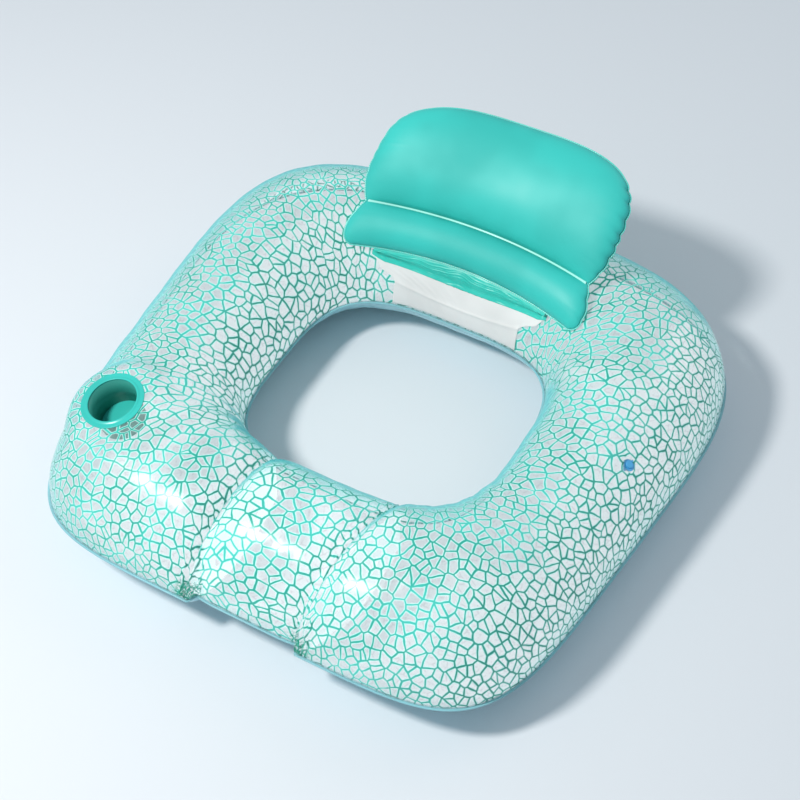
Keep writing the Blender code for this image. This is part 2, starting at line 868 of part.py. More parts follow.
def make_valve(prefix, sheet, tree, place, axis):
    """Flange, sliding stem, plug on a tether, and check flap, seated on the sheet."""
    seat = seated(tree, place, axis, (valve_stem_radius, valve_flange_radius / 2, valve_flange_radius))
    placement = placed_along(seat + axis * fit_clearance, axis)
    bore = valve_stem_radius - valve_stem_wall
    flange_top = valve_flange_thickness
    flange = turned(
        prefix + "_flange",
        (
            (valve_flange_radius, flange_top / 2),
            (valve_flange_radius, 0.0),
            (valve_stem_radius + fit_clearance, 0.0),
            (valve_stem_radius + fit_clearance, flange_top),
            (valve_flange_radius - flange_top, flange_top),
        ),
        blue, placement, small_turned_steps,
    )
    collar_base = flange_top + fit_clearance
    collar_top = collar_base + valve_collar_thickness
    stem = turned(
        prefix + "_stem",
        (
            (valve_collar_radius, collar_top),
            (valve_collar_radius, collar_base),
            (valve_stem_radius, collar_base),
            (valve_stem_radius, -valve_stem_depth),
            (bore, -valve_stem_depth),
            (bore, collar_top),
        ),
        blue, placement, small_turned_steps,
    )
    head_base = collar_top + fit_clearance
    head_top = head_base + valve_plug_head_thickness
    pin = bore - fit_clearance
    soft = valve_plug_head_thickness / 4
    plug = turned(
        prefix + "_plug",
        (
            (0.0, head_top),
            (valve_plug_head_radius - soft, head_top),
            (valve_plug_head_radius, head_top - soft),
            (valve_plug_head_radius, head_base),
            (pin, head_base),
            (pin, head_base - valve_plug_length + soft),
            (pin - soft, head_base - valve_plug_length),
            (0.0, head_base - valve_plug_length),
        ),
        blue, placement, small_turned_steps, closed=False,
    )
    tether = make_tether(prefix + "_tether", placement, collar_base, head_top)
    flap = make_check_flap(prefix + "_check_flap", placement)
    hole = cylinder_cutter(prefix + "_hole", valve_stem_radius + fit_clearance, valve_stem_depth, placement)
    cut(sheet, hole)
    return [flange, stem, plug, tether, flap]


def make_tether(name, placement, collar_base, head_top):
    """Thin strap that loops out from the stem's collar and back to the plug's head."""
    low = collar_base + tether_thickness / 2 + fit_clearance
    high = head_top - tether_thickness / 2
    collar_edge = valve_collar_radius + fit_clearance
    head_edge = valve_plug_head_radius + fit_clearance
    middle, half = (low + high) / 2, (high - low) / 2
    path = [(collar_edge, low)]
    bend_start = head_edge + fit_clearance
    for k in range(tether_bend_steps + 1):
        turn = -math.pi / 2 + math.pi * k / tether_bend_steps
        path.append((bend_start + tether_loop * math.cos(turn), middle + half * math.sin(turn)))
    path.append((head_edge, high))
    path = [path[0]] + [point for point in path[1:-1] if point[0] > bend_start + fit_clearance] + [path[-1]]
    rows = [[Vector((x, side * tether_width / 2, z)) for side in (-1, 1)] for x, z in path]
    strap = add_object(name, grid_mesh(rows), blue)
    thickness = solidify(strap, tether_thickness)
    thickness.offset = 0.0
    strap.matrix_world = placement
    return strap


def make_check_flap(name, placement):
    """Round one way flap under the stem, hinged at its edge on local X."""
    radius = valve_stem_radius - fit_clearance
    hinge = Vector((-radius, 0.0, -valve_stem_depth - fit_clearance))
    bm = bmesh.new()
    bmesh.ops.create_cone(
        bm,
        cap_ends=True,
        segments=small_turned_steps,
        radius1=radius,
        radius2=radius,
        depth=valve_flap_thickness,
    )
    bmesh.ops.translate(bm, verts=bm.verts, vec=(radius, 0.0, -valve_flap_thickness / 2))
    flap = add_object(name, bm, blue, smooth=False)
    flap.matrix_world = placement @ Matrix.Translation(hinge)
    return flap


def facing(normal, direction):
    return normal if normal.dot(direction) > 0 else -normal


def surface_place(tree, x, y):
    """Point and normal of the top sheet under this place."""
    above = Vector((x, y, 2 * (seam_height + plain_crown_height)))
    place, normal, _, _ = tree.ray_cast(above, Vector((0.0, 0.0, -1.0)))
    return place, facing(normal, Vector((0.0, 0.0, 1.0)))


clear_scene()
lounger = make_collection("inflatable_pool_lounger")
cutters = make_collection("cutters")
printed = make_material("printed_pvc_sheet", (0.62, 0.80, 0.78), 0.22)
clear_teal = make_material("clear_teal_pvc_sheet", (0.10, 0.48, 0.52), 0.18, 0.8)
turquoise = make_material("turquoise_pvc_sheet", (0.05, 0.62, 0.55), 0.25)
white = make_material("white_pvc_panel", (0.80, 0.81, 0.80), 0.35)
blue = make_material("blue_moulded_pvc", (0.03, 0.25, 0.62), 0.25)

line_points, line_lengths = centre_line()
baffle_lengths = (front_length_at(left_baffle_x), front_length_at(right_baffle_x))
cup_seat = cup_seat_point()
divider_place = backrest_origin()
stations = ring_stations()

ring_top = make_ring_sheet("ring_top_sheet", 1, printed)
ring_bottom = make_ring_sheet("ring_bottom_sheet", -1, clear_teal)
make_ring_seam("ring_outer_seam", [(s.outer, s.outward) for s in stations], clear_teal)
make_ring_seam("ring_inner_seam", [(s.inner, -s.outward) for s in stations], clear_teal)
make_baffle("front_baffle_left", baffle_lengths[0], clear_teal)
make_baffle("front_baffle_right", baffle_lengths[1], clear_teal)

ring_tree = tree_of(sheet_rows(1), wrap=True)
cup_placement = make_cup_holder(ring_top, ring_tree)
make_rear_panel()

front_sheet, rear_sheet, rear_rows = make_backrest_sheets()
edge_seam, lower_flange = make_edge_seam()
make_flap(lower_flange)
backrest_pieces = [front_sheet, rear_sheet, edge_seam, make_divider_weld()]
hinge = bpy.data.objects.new("backrest_hinge", None)
lounger.objects.link(hinge)
hinge.location = divider_place - Vector((0.0, hinge_forward, hinge_drop))
bpy.context.view_layer.update()

ring_valve_x = hole_half_width + ring_valve_side_share * (ring_half_width - hole_half_width)
valve_point, valve_axis = surface_place(ring_tree, ring_valve_x, ring_valve_y)
ring_valve = make_valve("ring_valve", ring_top, ring_tree, valve_point, valve_axis)

_, _, _, front_direction = backrest_frame()
rear_tree = tree_of([[p - front_direction * sheet_thickness for p in row] for row in rear_rows])
valve_target = backrest_point(backrest_valve_side_share, backrest_valve_height_share, "pillow", 0.0)
valve_point, valve_axis, _, _ = rear_tree.ray_cast(valve_target - front_direction * pillow_height, front_direction)
valve_axis = facing(valve_axis, -front_direction)
backrest_valve = make_valve("backrest_valve", rear_sheet, rear_tree, valve_point, valve_axis)
bpy.context.view_layer.update()
carry(hinge, *backrest_pieces, *backrest_valve, bpy.data.objects["backrest_valve_hole"])
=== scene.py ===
import json
import math
from collections import namedtuple
from functools import partial

import bmesh
import bpy
import numpy as np
from bpy.props import FloatProperty, FloatVectorProperty, IntProperty, PointerProperty
from mathutils import Matrix, Vector


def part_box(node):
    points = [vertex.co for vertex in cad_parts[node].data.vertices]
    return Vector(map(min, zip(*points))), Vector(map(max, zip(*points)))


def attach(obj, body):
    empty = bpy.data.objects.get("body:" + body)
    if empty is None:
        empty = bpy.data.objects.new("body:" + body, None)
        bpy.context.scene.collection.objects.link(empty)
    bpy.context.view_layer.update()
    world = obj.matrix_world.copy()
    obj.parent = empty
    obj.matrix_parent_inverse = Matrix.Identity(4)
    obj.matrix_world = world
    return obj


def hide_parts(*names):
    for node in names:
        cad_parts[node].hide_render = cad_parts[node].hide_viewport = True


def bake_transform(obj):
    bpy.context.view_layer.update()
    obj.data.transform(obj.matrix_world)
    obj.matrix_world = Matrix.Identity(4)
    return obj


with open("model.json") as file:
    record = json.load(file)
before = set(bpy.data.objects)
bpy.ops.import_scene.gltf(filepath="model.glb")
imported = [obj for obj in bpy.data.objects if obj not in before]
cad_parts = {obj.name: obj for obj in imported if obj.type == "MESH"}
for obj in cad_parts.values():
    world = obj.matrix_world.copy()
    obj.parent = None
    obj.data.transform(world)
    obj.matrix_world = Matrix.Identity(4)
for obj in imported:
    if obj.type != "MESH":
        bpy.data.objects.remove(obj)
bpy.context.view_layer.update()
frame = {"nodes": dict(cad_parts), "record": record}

bl_info = {
    "name": "Inflatable Pool Lounger",
    "version": (1, 0, 0),
    "blender": (4, 5, 0),
    "location": "View3D > Sidebar > Lounger",
    "description": "Dresses the packed pool lounger in its welded films, print, cup holder and valves",
    "category": "Object",
}

# Ring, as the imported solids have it. All lengths are in metres, and shares are of 1.
Outline = namedtuple("Outline", "half_width half_depth front_share rear_share widening setback")
RING = Outline(0.5425, 0.553, 0.891, 0.813, 0.106, 0.0)
HOLE = Outline(0.259, 0.2465, 0.8165, 0.8165, 0.0, 0.017)
FAN_INSET = 0.090
PLAIN_HALF_WIDTH = 0.140
PLAIN_CROWN_HEIGHT = 0.150
SWELL_SHARE = 0.42
UNDERSIDE_BULGE_SHARE = 0.663
UNDERSIDE_TAPER = 1.25
SEAM_HEIGHT = 0.09705
FILM_THICKNESS = 0.0004
FILM_GAP = 0.0004
CLEARANCE = 0.0003
SEAM_THICKNESS = 0.0009
RESTING_HEIGHT = 0.02
BAFFLE_X = (-0.098, 0.1425)
RIGHT_BAFFLE_SLANT = 0.0165
SLANT_REACH = 0.140
CREASE_REACH = 0.060
CREASE_DEPTH_SHARE = 0.30
RIGHT_CREASE_DEPTH_SHARE = 0.17
CREASE_NOTCH = 0.009
HOLE_NOTCH = 0.003
FRONT_PANEL_INSET = 0.0145
INSET_RUN = 0.012
OUTLINE_SAMPLES = 720
TOP_ARC = 0.42
PLEATED_ARC = math.pi * 0.145
GATHERED_LENGTH = 0.020
PRINT_SHIFT = 0.035

# Cup holder
CUP_SIDE_TILT = math.radians(7.5)
CUP_FRONT_TILT = math.radians(10.7)
CUP_FLAT_RADIUS = 0.0682
CUP_FLAT_BLEND = 0.050
CUP_HOLE_RADIUS = 0.0500
CUP_MOUTH_RADIUS = 0.0462
CUP_RIM_RADIUS = 0.0602
CUP_FOOT_RADIUS = 0.0422
CUP_DEPTH = 0.060
CUP_RIM_THICKNESS = 0.0018
CUP_WALL_THICKNESS = 0.0009
VALVE_HOLE_RADIUS = 0.0110
HOLE_REACH = 0.03

# Panel and flap behind the seat hole. Shares run over the tube from the hole's seam.
PANEL_LOW_REACH = (-0.140, 0.135)
PANEL_TOP_REACH = (-0.216, 0.196)
PANEL_LOW_SHARE = 0.012
PANEL_TOP_SHARE = 0.176
PANEL_TOP_RISE = 0.045
PANEL_LIFT = 0.0018
FLAP_REACH = (-0.232, 0.208)
FLAP_LOW_SHARE = 0.178
FLAP_LOW_RISE = 0.040
FLAP_WELD_SHARE = 0.020
FLAP_LIFT = 0.0024

# Backrest
BACKREST_Y = 0.323
BACKREST_Z = 0.27972
BACKREST_LEAN = math.radians(50.7)
BACKREST_ORIGIN = np.array((0.0, BACKREST_Y, BACKREST_Z))
BACKREST_UP = np.array((0.0, math.sin(BACKREST_LEAN), math.cos(BACKREST_LEAN)))
BACKREST_FRONT = np.array((0.0, -math.cos(BACKREST_LEAN), math.sin(BACKREST_LEAN)))
BACKREST_BOW = 0.034
BACKREST_BOW_HALF_WIDTH = 0.250
PILLOW_HALF_WIDTH = 0.2657
PILLOW_HEIGHT = 0.2435
PILLOW_WIDEST_HEIGHT = 0.100
PILLOW_CORNER_SHARE = 0.792
PILLOW_SWAY = 0.018
PILLOW_DROP = 0.008
PILLOW_FRONT_BULGE = 0.050
PILLOW_REAR_BULGE = 0.034
ROLL_HALF_WIDTH = 0.259
ROLL_HEIGHT = 0.053
ROLL_CORNER_DROOP = 0.040
ROLL_FRONT_BULGE = 0.032
ROLL_REAR_BULGE = 0.010
ROLL_WIDEST_SHARE = 0.667
ROLL_CORNER_ROUNDING = 0.018
NIP_HALF_WIDTH = 0.241
DIVIDER_RISE = 0.027
DIVIDER_WIDTH = 0.0036
FILM_GROWTH = 0.0030
TOP_GROWTH = 0.0065
EDGE_WELD_WIDTH = 0.0026
SCALLOP_PITCH = 0.030
SCALLOP_DEPTH = 0.0044

# Films and print. The film's real grain, well under 1 mm, is too fine to show and is drawn 4 mm wide.
# Painted light: colour of the emission that lights up the lining and the baffle webs from within, standing in
# for light that comes in through the lower film.
PAINTED_GLOW_CODE = "E5F0F3"
CLEAR_CODE = "FDFEFE"
CELL_DRIFT_SIZE = 0.0238
LINE_DRIFT_SIZE = 0.0357
INK_DRIFT_SIZE = 0.1111
CREASE_FLECK_SIZE = 0.00526
VEIN_DRIFT_SIZE = 0.01667
CLEAR_DRIFT_SIZE = 0.1667
TINT_DRIFT_SIZE = 0.1429
GRAIN_SIZE = 0.00417
INK_SPREAD = 0.0004
WASH_WIDTH = 0.0026
CRUMPLE_HEIGHT = SEAM_HEIGHT + 0.016
CRUMPLE_REACH = (0.012, 0.038)

# Node settings that many materials share
SMOOTH = {"interpolation_type": "SMOOTHSTEP"}
COLOURS = {"data_type": "RGBA"}
ON_SHEET = {"noise_dimensions": "2D"}

# Studio. The middle of the ring's underside shows at this pixel of the 800 by 800 picture.
RING_PIXEL = (391.66, 444.35)
PICTURE_WIDTH = 800
SENSOR_WIDTH = 36.0
LENS = 72.0
FLOOR_REACH = 14.0
FLOOR_HEIGHT = -0.0005

Sections = namedtuple("Sections", "length inner outer middle outward half_width crown pinch")


# Colours, nodes and meshes


def linear(code):
    """Linear colour of an sRGB hex code."""
    parts = [int(code[k : k + 2], 16) / 255 for k in (0, 2, 4)]
    return tuple(v / 12.92 if v <= 0.04045 else ((v + 0.055) / 1.055) ** 2.4 for v in parts)


def exponent_of(corner_share):
    """Of the superellipse whose corner reaches this share of its half sizes."""
    return math.log(0.5) / math.log(corner_share)


def add_node(tree, kind, inputs=(), **settings):
    """Adds a node with its settings and links. A shader node's kind leaves out ShaderNode.

    inputs gives sockets, in order or by key, a value, a socket, or a node whose first output in
    use is taken. A colour has three numbers.
    """
    prefix = "" if kind.startswith(("Geometry", "NodeGroup")) else "ShaderNode"
    node = tree.nodes.new(prefix + kind)
    for name, value in settings.items():
        setattr(node, name, value)
    for key, value in inputs.items() if isinstance(inputs, dict) else enumerate(inputs):
        socket = node.inputs[key]
        if isinstance(value, bpy.types.Node):
            value = next(output for output in value.outputs if output.enabled)
        if isinstance(value, bpy.types.NodeSocket):
            tree.links.new(value, socket)
        else:
            socket.default_value = (*value, 1.0) if socket.type == "RGBA" else value
    return node


def new_material(name):
    """A material without nodes, and the function that adds them."""
    material = bpy.data.materials.new(name)
    material.use_nodes = True
    material.node_tree.nodes.clear()
    return material, partial(add_node, material.node_tree)


def new_piece(mesh, finishes, smooth=True):
    """An object of the mesh's name, with these finishes in order."""
    for finish in finishes:
        mesh.materials.append(finish)
    if smooth:
        mesh.shade_smooth()
    piece = bpy.data.objects.new(mesh.name, mesh)
    bpy.context.scene.collection.objects.link(piece)
    return piece


def declared(piece, node, body):
    """Hides the imported solid a piece stands for and, given a body, hangs the piece on that body."""
    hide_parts(node)
    if body:
        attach(piece, body)


def grid_mesh(name, points, wrap=False, flip=False, sheet=None):
    """A mesh of quads on rows of points. sheet gives each point's place on the flat film."""
    rows, columns = points.shape[:2]
    row = np.arange(rows if wrap else rows - 1)[:, None]
    near = row * columns + np.arange(columns - 1)
    far = (row + 1) % rows * columns + np.arange(columns - 1)
    quads = np.stack([near, far, far + 1, near + 1], axis=-1).reshape(-1, 4)[:, :: -1 if flip else 1]
    mesh = bpy.data.meshes.new(name)
    mesh.from_pydata(points.reshape(-1, 3).tolist(), [], quads.tolist())
    if sheet is not None:
        layer = mesh.uv_layers.new(name="film")
        layer.data.foreach_set("uv", sheet.reshape(-1, 2)[quads.ravel()].astype(np.float32).ravel())
    return mesh


def new_film(mesh, keys, node, body=None, thickness=FILM_THICKNESS, outward=True):
    """A film on one side of a skin. A second key is the finish of its inner face."""
    piece = new_piece(mesh, [materials()[key] for key in keys])
    wall = piece.modifiers.new("film thickness", "SOLIDIFY")
    wall.thickness = thickness
    wall.offset = 1.0 if outward else -1.0
    wall.material_offset = len(keys) - 1
    declared(piece, node, body)
    return piece


def wave_noise(place, wavelength, seed, octaves=3):
    """Smooth one dimensional noise along place, repeatable from its seed."""
    draw = np.random.default_rng(seed)
    total = np.zeros_like(place, dtype=float)
    for octave in range(octaves):
        for _ in range(5):
            scale = draw.uniform(0.7, 1.5) * 2**octave
            phase = draw.uniform(0, 2 * math.pi)
            total += np.sin(2 * math.pi * place * scale / wavelength + phase) * 0.6**octave
    return total / (5 * 0.6)


# Shape of the ring


def level(outline, points):
    """Below 1 inside the outline and above 1 outside it."""
    depth = (points[..., 1] - outline.setback) / outline.half_depth
    width = points[..., 0] / (outline.half_width * (1 + outline.widening * depth))
    exponent = np.where(depth > 0, exponent_of(outline.rear_share), exponent_of(outline.front_share))
    return np.abs(width) ** exponent + np.abs(depth) ** exponent


def crossing(start, direction, outline):
    """Where rays from inside or outside an outline meet it, by halving."""
    inside = level(outline, start) < 1
    near, far = np.zeros(len(start)), np.full(len(start), outline.half_width)
    for _ in range(40):
        middle = (near + far) / 2
        same = (level(outline, start + direction * middle[:, None]) < 1) == inside
        near = np.where(same, middle, near)
        far = np.where(same, far, middle)
    return start + direction * near[:, None]


def centre_line():
    """Points of the closed line midway between the two outlines, and the length run at each."""
    turn = 2 * math.pi * np.arange(OUTLINE_SAMPLES) / OUTLINE_SAMPLES
    across, along = np.cos(turn), np.sin(turn)
    rear = along > 0
    half_width = (RING.half_width + HOLE.half_width) / 2
    depth = (RING.half_depth + HOLE.half_depth + np.where(rear, HOLE.setback, -HOLE.setback)) / 2
    share = (np.where(rear, RING.rear_share, RING.front_share) + HOLE.rear_share) / 2
    exponent = math.log(0.5) / np.log(share)
    reach = (np.abs(across / half_width) ** exponent + np.abs(along / depth) ** exponent) ** (-1 / exponent)
    widening = 1 + RING.widening / 2 * reach * along / depth
    points = np.stack([reach * across * widening, reach * along], axis=1)
    steps = np.linalg.norm(np.roll(points, -1, axis=0) - points, axis=1)
    return points, np.concatenate([[0.0], np.cumsum(steps)])


LINE_POINTS, LINE_LENGTHS = centre_line()
RING_LENGTH = LINE_LENGTHS[-1]


def on_line(length):
    """Points on the closed line at these lengths."""
    closed = np.vstack([LINE_POINTS, LINE_POINTS[:1]])
    length = np.mod(length, RING_LENGTH)
    return np.stack([np.interp(length, LINE_LENGTHS, closed[:, k]) for k in range(2)], axis=1)


def length_at(x, rear):
    """Length along the centre line where its front or rear stretch passes x."""
    keep = (LINE_POINTS[:, 1] > 0) == rear
    order = np.argsort(LINE_POINTS[keep, 0])
    return float(np.interp(x, LINE_POINTS[keep, 0][order], LINE_LENGTHS[:-1][keep][order]))


BAFFLE_LENGTHS = (length_at(BAFFLE_X[0], False), length_at(BAFFLE_X[1], False))


def baffle_gaps(length):
    """Signed distances along the ring from each baffle."""
    return np.stack([length - place for place in BAFFLE_LENGTHS])


def from_baffle(length):
    """Signed distance along the ring to the nearer baffle."""
    gaps = baffle_gaps(length)
    nearest = np.abs(gaps).argmin(axis=0)
    return np.take_along_axis(gaps, nearest[None], axis=0)[0]


def eased(part):
    """0 to 1 with soft ends, over part from 0 to 1."""
    part = np.clip(part, 0, 1)
    return part * part * (3 - 2 * part)


def plain_edges(length):
    """Points on the hole's and the ring's outlines, on lines that fan out round each corner."""
    centre = on_line(length)
    reach = np.array((HOLE.half_width, HOLE.half_depth)) - FAN_INSET
    middle = np.array((0.0, HOLE.setback))
    outward = centre - np.clip(centre, middle - reach, middle + reach)
    outward /= np.linalg.norm(outward, axis=1)[:, None]
    return crossing(centre, -outward, HOLE), crossing(centre, outward, RING), outward


def ring_sections(length):
    """Cross sections of the tube at these lengths along its centre line."""
    slant = RIGHT_BAFFLE_SLANT * np.clip(1 - np.abs(length - BAFFLE_LENGTHS[1]) / SLANT_REACH, 0, 1)
    inner, _, inner_way = plain_edges(length + slant)
    _, outer, outer_way = plain_edges(length - slant)
    part = np.clip(1 - np.abs(from_baffle(length)) / CREASE_REACH, 0, 1)
    pinch = 1 - np.sqrt(1 - part * part)
    inside = np.minimum(length - BAFFLE_LENGTHS[0], BAFFLE_LENGTHS[1] - length)
    drawn_in = eased(inside / INSET_RUN) * (FRONT_PANEL_INSET + CREASE_NOTCH * pinch)
    outer = outer - outer_way * drawn_in[:, None]
    inner = inner + inner_way * (HOLE_NOTCH * pinch)[:, None]
    span = np.linalg.norm(outer - inner, axis=1)
    outward = (outer - inner) / span[:, None]
    swell = (span / 2 / PLAIN_HALF_WIDTH) ** SWELL_SHARE
    depth = np.where(length < sum(BAFFLE_LENGTHS) / 2, CREASE_DEPTH_SHARE, RIGHT_CREASE_DEPTH_SHARE)
    crown = PLAIN_CROWN_HEIGHT * swell * (1 - depth * pinch)
    return Sections(length, inner, outer, (inner + outer) / 2, outward, span / 2, crown, pinch)


def skin_points(sections, shares, side):
    """Points on the tube's skin. Shares run over the half turn from the hole's seam."""
    turn = math.pi * (1 - np.atleast_2d(shares))
    along, off = np.cos(turn), np.abs(np.sin(turn))
    bulge = sections.crown[:, None]
    if side < 0:
        along, off = np.sign(along) * np.abs(along) ** UNDERSIDE_TAPER, off**UNDERSIDE_TAPER
        bulge = bulge * UNDERSIDE_BULGE_SHARE
    reach = sections.half_width[:, None] * along
    flat = sections.middle[:, None, :] + sections.outward[:, None, :] * reach[..., None]
    rise = FILM_GAP / 2 + (bulge - FILM_GAP / 2) * off
    height = np.maximum(SEAM_HEIGHT + side * rise, 0.0)
    return np.concatenate([flat, height[..., None]], axis=-1)


def skin_normals(sections, shares, side):
    """The skin's outward normals at the same shares."""
    turn = math.pi * (1 - np.atleast_2d(shares))
    flat = sections.outward[:, None, :] * (np.cos(turn) * sections.crown[:, None])[..., None]
    up = side * np.sin(turn) * sections.half_width[:, None]
    normals = np.concatenate([flat, up[..., None]], axis=-1)
    return normals / np.linalg.norm(normals, axis=-1, keepdims=True)


def drawn_to_cup(points):
    """The film is pulled flat under the cup holder's rim and eases back to round beyond it."""
    seat, axis = (np.array(vector) for vector in cup_seat())
    seat = seat - axis * CLEARANCE
    height = (points - seat) @ axis
    away = np.linalg.norm(points - seat - height[..., None] * axis, axis=-1)
    part = eased((CUP_FLAT_RADIUS + CUP_FLAT_BLEND - away) / CUP_FLAT_BLEND)
    return points - axis * (height * part)[..., None]


def film_coordinates(sections, shares):
    """Where each point of the skin lay on the flat sheet, before it was inflated."""
    points = skin_points(sections, shares, 1)
    steps = np.linalg.norm(np.diff(points, axis=1), axis=-1)
    run = np.concatenate([np.zeros((len(points), 1)), np.cumsum(steps, axis=1)], axis=1)
    offset = run - run[:, -1:] / 2
    offset = PRINT_SHIFT + offset * np.where(offset > 0, 1.0, 0.82)
    gaps = baffle_gaps(sections.length)
    gathered = GATHERED_LENGTH * np.sign(gaps) * (1 - np.exp(-np.abs(gaps) / 0.018))
    gathered = (gathered * np.exp(-np.abs(gaps) / 0.20)).sum(axis=0)
    along = np.stack([-sections.outward[:, 1], sections.outward[:, 0]], axis=1)
    middle = sections.middle + along * gathered[:, None]
    return middle[:, None, :] + sections.outward[:, None, :] * offset[..., None]


def end_crowded(count, crowding):
    """Shares from 0 to 1, closer together near both ends."""
    even = np.linspace(0, 1, count)
    return (1 - np.cos(math.pi * even)) / 2 * crowding + even * (1 - crowding)


def ring_lengths(count):
    """Lengths round the ring, closer together near the two creases."""
    fine = np.linspace(0, RING_LENGTH, 4000)
    density = 1 + 3.6 * np.exp(-((from_baffle(fine) / 0.034) ** 2))
    run = np.concatenate([[0], np.cumsum((density[1:] + density[:-1]) / 2)])
    return np.interp(np.linspace(0, run[-1], count, endpoint=False), run, fine)


def seam_puckers(sections, shares, seed, outer_height, inner_height):
    """Small pleats that run up from both seams, where the flat sheet is longer than the round."""
    place = sections.length[:, None]
    from_outer, from_inner = (1 - shares) * PLEATED_ARC, shares * PLEATED_ARC
    pleat = wave_noise(place, 0.030, seed, 3)
    patch = np.clip(0.6 + 0.6 * wave_noise(place, 0.30, seed + 1, 2), 0.15, 1.3)
    pleat = np.sign(pleat) * np.abs(pleat) ** 0.8 * patch
    reach = np.clip(0.018 + 0.010 * wave_noise(place, 0.11, seed + 2, 2), 0.008, None)
    outer = outer_height * pleat * np.exp(-from_outer / reach) * np.clip(from_outer / 0.004, 0, 1)
    inner = inner_height * pleat * np.exp(-from_inner / 0.014) * np.clip(from_inner / 0.004, 0, 1)
    slack = 0.0007 * wave_noise(place * 1.3 + shares * 0.35, 0.16, seed + 3, 2)
    return outer + inner + slack * np.clip(np.minimum(from_outer, from_inner) / 0.02, 0, 1)


def crease_folds(sections, shares, seed):
    """Crumpled film in the bottom of the two creases, worst at their outer ends."""
    gap = from_baffle(sections.length)[:, None]
    run, to_end = shares * TOP_ARC, (1 - shares) * TOP_ARC
    small = wave_noise(run + gap * 1.3, 0.020, seed, 3)
    small = small * wave_noise(gap * 1.6 + run * 0.5, 0.030, seed + 1, 2) * np.exp(-((gap / 0.012) ** 2))
    pleats = wave_noise(gap * 1.2 + 0.004 * wave_noise(run, 0.05, seed + 3, 2), 0.0125, seed + 2, 2)
    pleats = pleats * np.exp(-((gap / 0.020) ** 2)) * np.exp(-((to_end / 0.075) ** 2))
    rays = wave_noise(np.arctan2(gap, to_end + 0.02), 0.55, seed + 4, 2)
    rays = rays * np.exp(-((gap / 0.045) ** 2)) * np.exp(-to_end / 0.05)
    rows = np.clip(np.minimum(shares, 1 - shares) / 0.02, 0, 1)
    return (0.0034 * small + 0.0052 * pleats + 0.0026 * rays) * rows


def remove_round_hole(mesh, centre, axis, radius):
    """Takes out the faces round a hole's axis and draws the edge left onto its circle."""
    bm = bmesh.new()
    bm.from_mesh(mesh)
    centre, axis = Vector(centre), Vector(axis).normalized()

    def away(point):
        height = (point - centre).dot(axis)
        return point - centre - axis * height, abs(height)

    doomed = []
    for face in bm.faces:
        flat, height = away(face.calc_center_median())
        if flat.length < radius and height < HOLE_REACH:
            doomed.append(face)
    bmesh.ops.delete(bm, geom=doomed, context="FACES")
    for vert in bm.verts:
        flat, height = away(vert.co)
        if vert.is_boundary and height < HOLE_REACH and 0 < flat.length < radius * 1.6:
            vert.co += flat.normalized() * (radius - flat.length)
    bm.to_mesh(mesh)
    bm.free()


# Film materials


def film_pattern(add, cell_size, warp=0.0022):
    """Distance to the nearest line of the crackle print, in metres, and the flat sheet it lies on."""
    flat = add("UVMap", uv_map="film")
    drift = add("TexNoise", {"Vector": flat, "Scale": 1 / CELL_DRIFT_SIZE, "Detail": 1.0}, **ON_SHEET)
    drift = add("VectorMath", (drift.outputs["Color"], (0.5, 0.5, 0.5)), operation="SUBTRACT")
    drift = add("VectorMath", {0: drift, "Scale": warp * 2}, operation="SCALE")
    moved = add("VectorMath", (flat, drift), operation="ADD")
    cells = {"Vector": moved, "Scale": 1 / cell_size, "Randomness": 0.96}
    cells = add("TexVoronoi", cells, voronoi_dimensions="2D", feature="DISTANCE_TO_EDGE")
    return add("Math", (cells, cell_size), operation="MULTIPLY"), flat


def crumpled_ends(add):
    """Flecks of gathered print where a crease meets the outer seam."""
    place = add("TexCoord").outputs["Object"]
    gaps = [
        add("VectorMath", (place, (float(x), float(y), CRUMPLE_HEIGHT)), operation="DISTANCE")
        for x, y in ring_sections(np.array(BAFFLE_LENGTHS)).outer
    ]
    gap = add("Math", gaps, operation="MINIMUM")
    near = add("MapRange", (gap, *CRUMPLE_REACH, 1.0, 0.0), **SMOOTH)
    flecks = add("TexNoise", {"Vector": place, "Scale": 1 / CREASE_FLECK_SIZE, "Detail": 2.0})
    flecks = add("MapRange", (flecks, 0.42, 0.52), **SMOOTH)
    return add("Math", (near, flecks), operation="MULTIPLY")


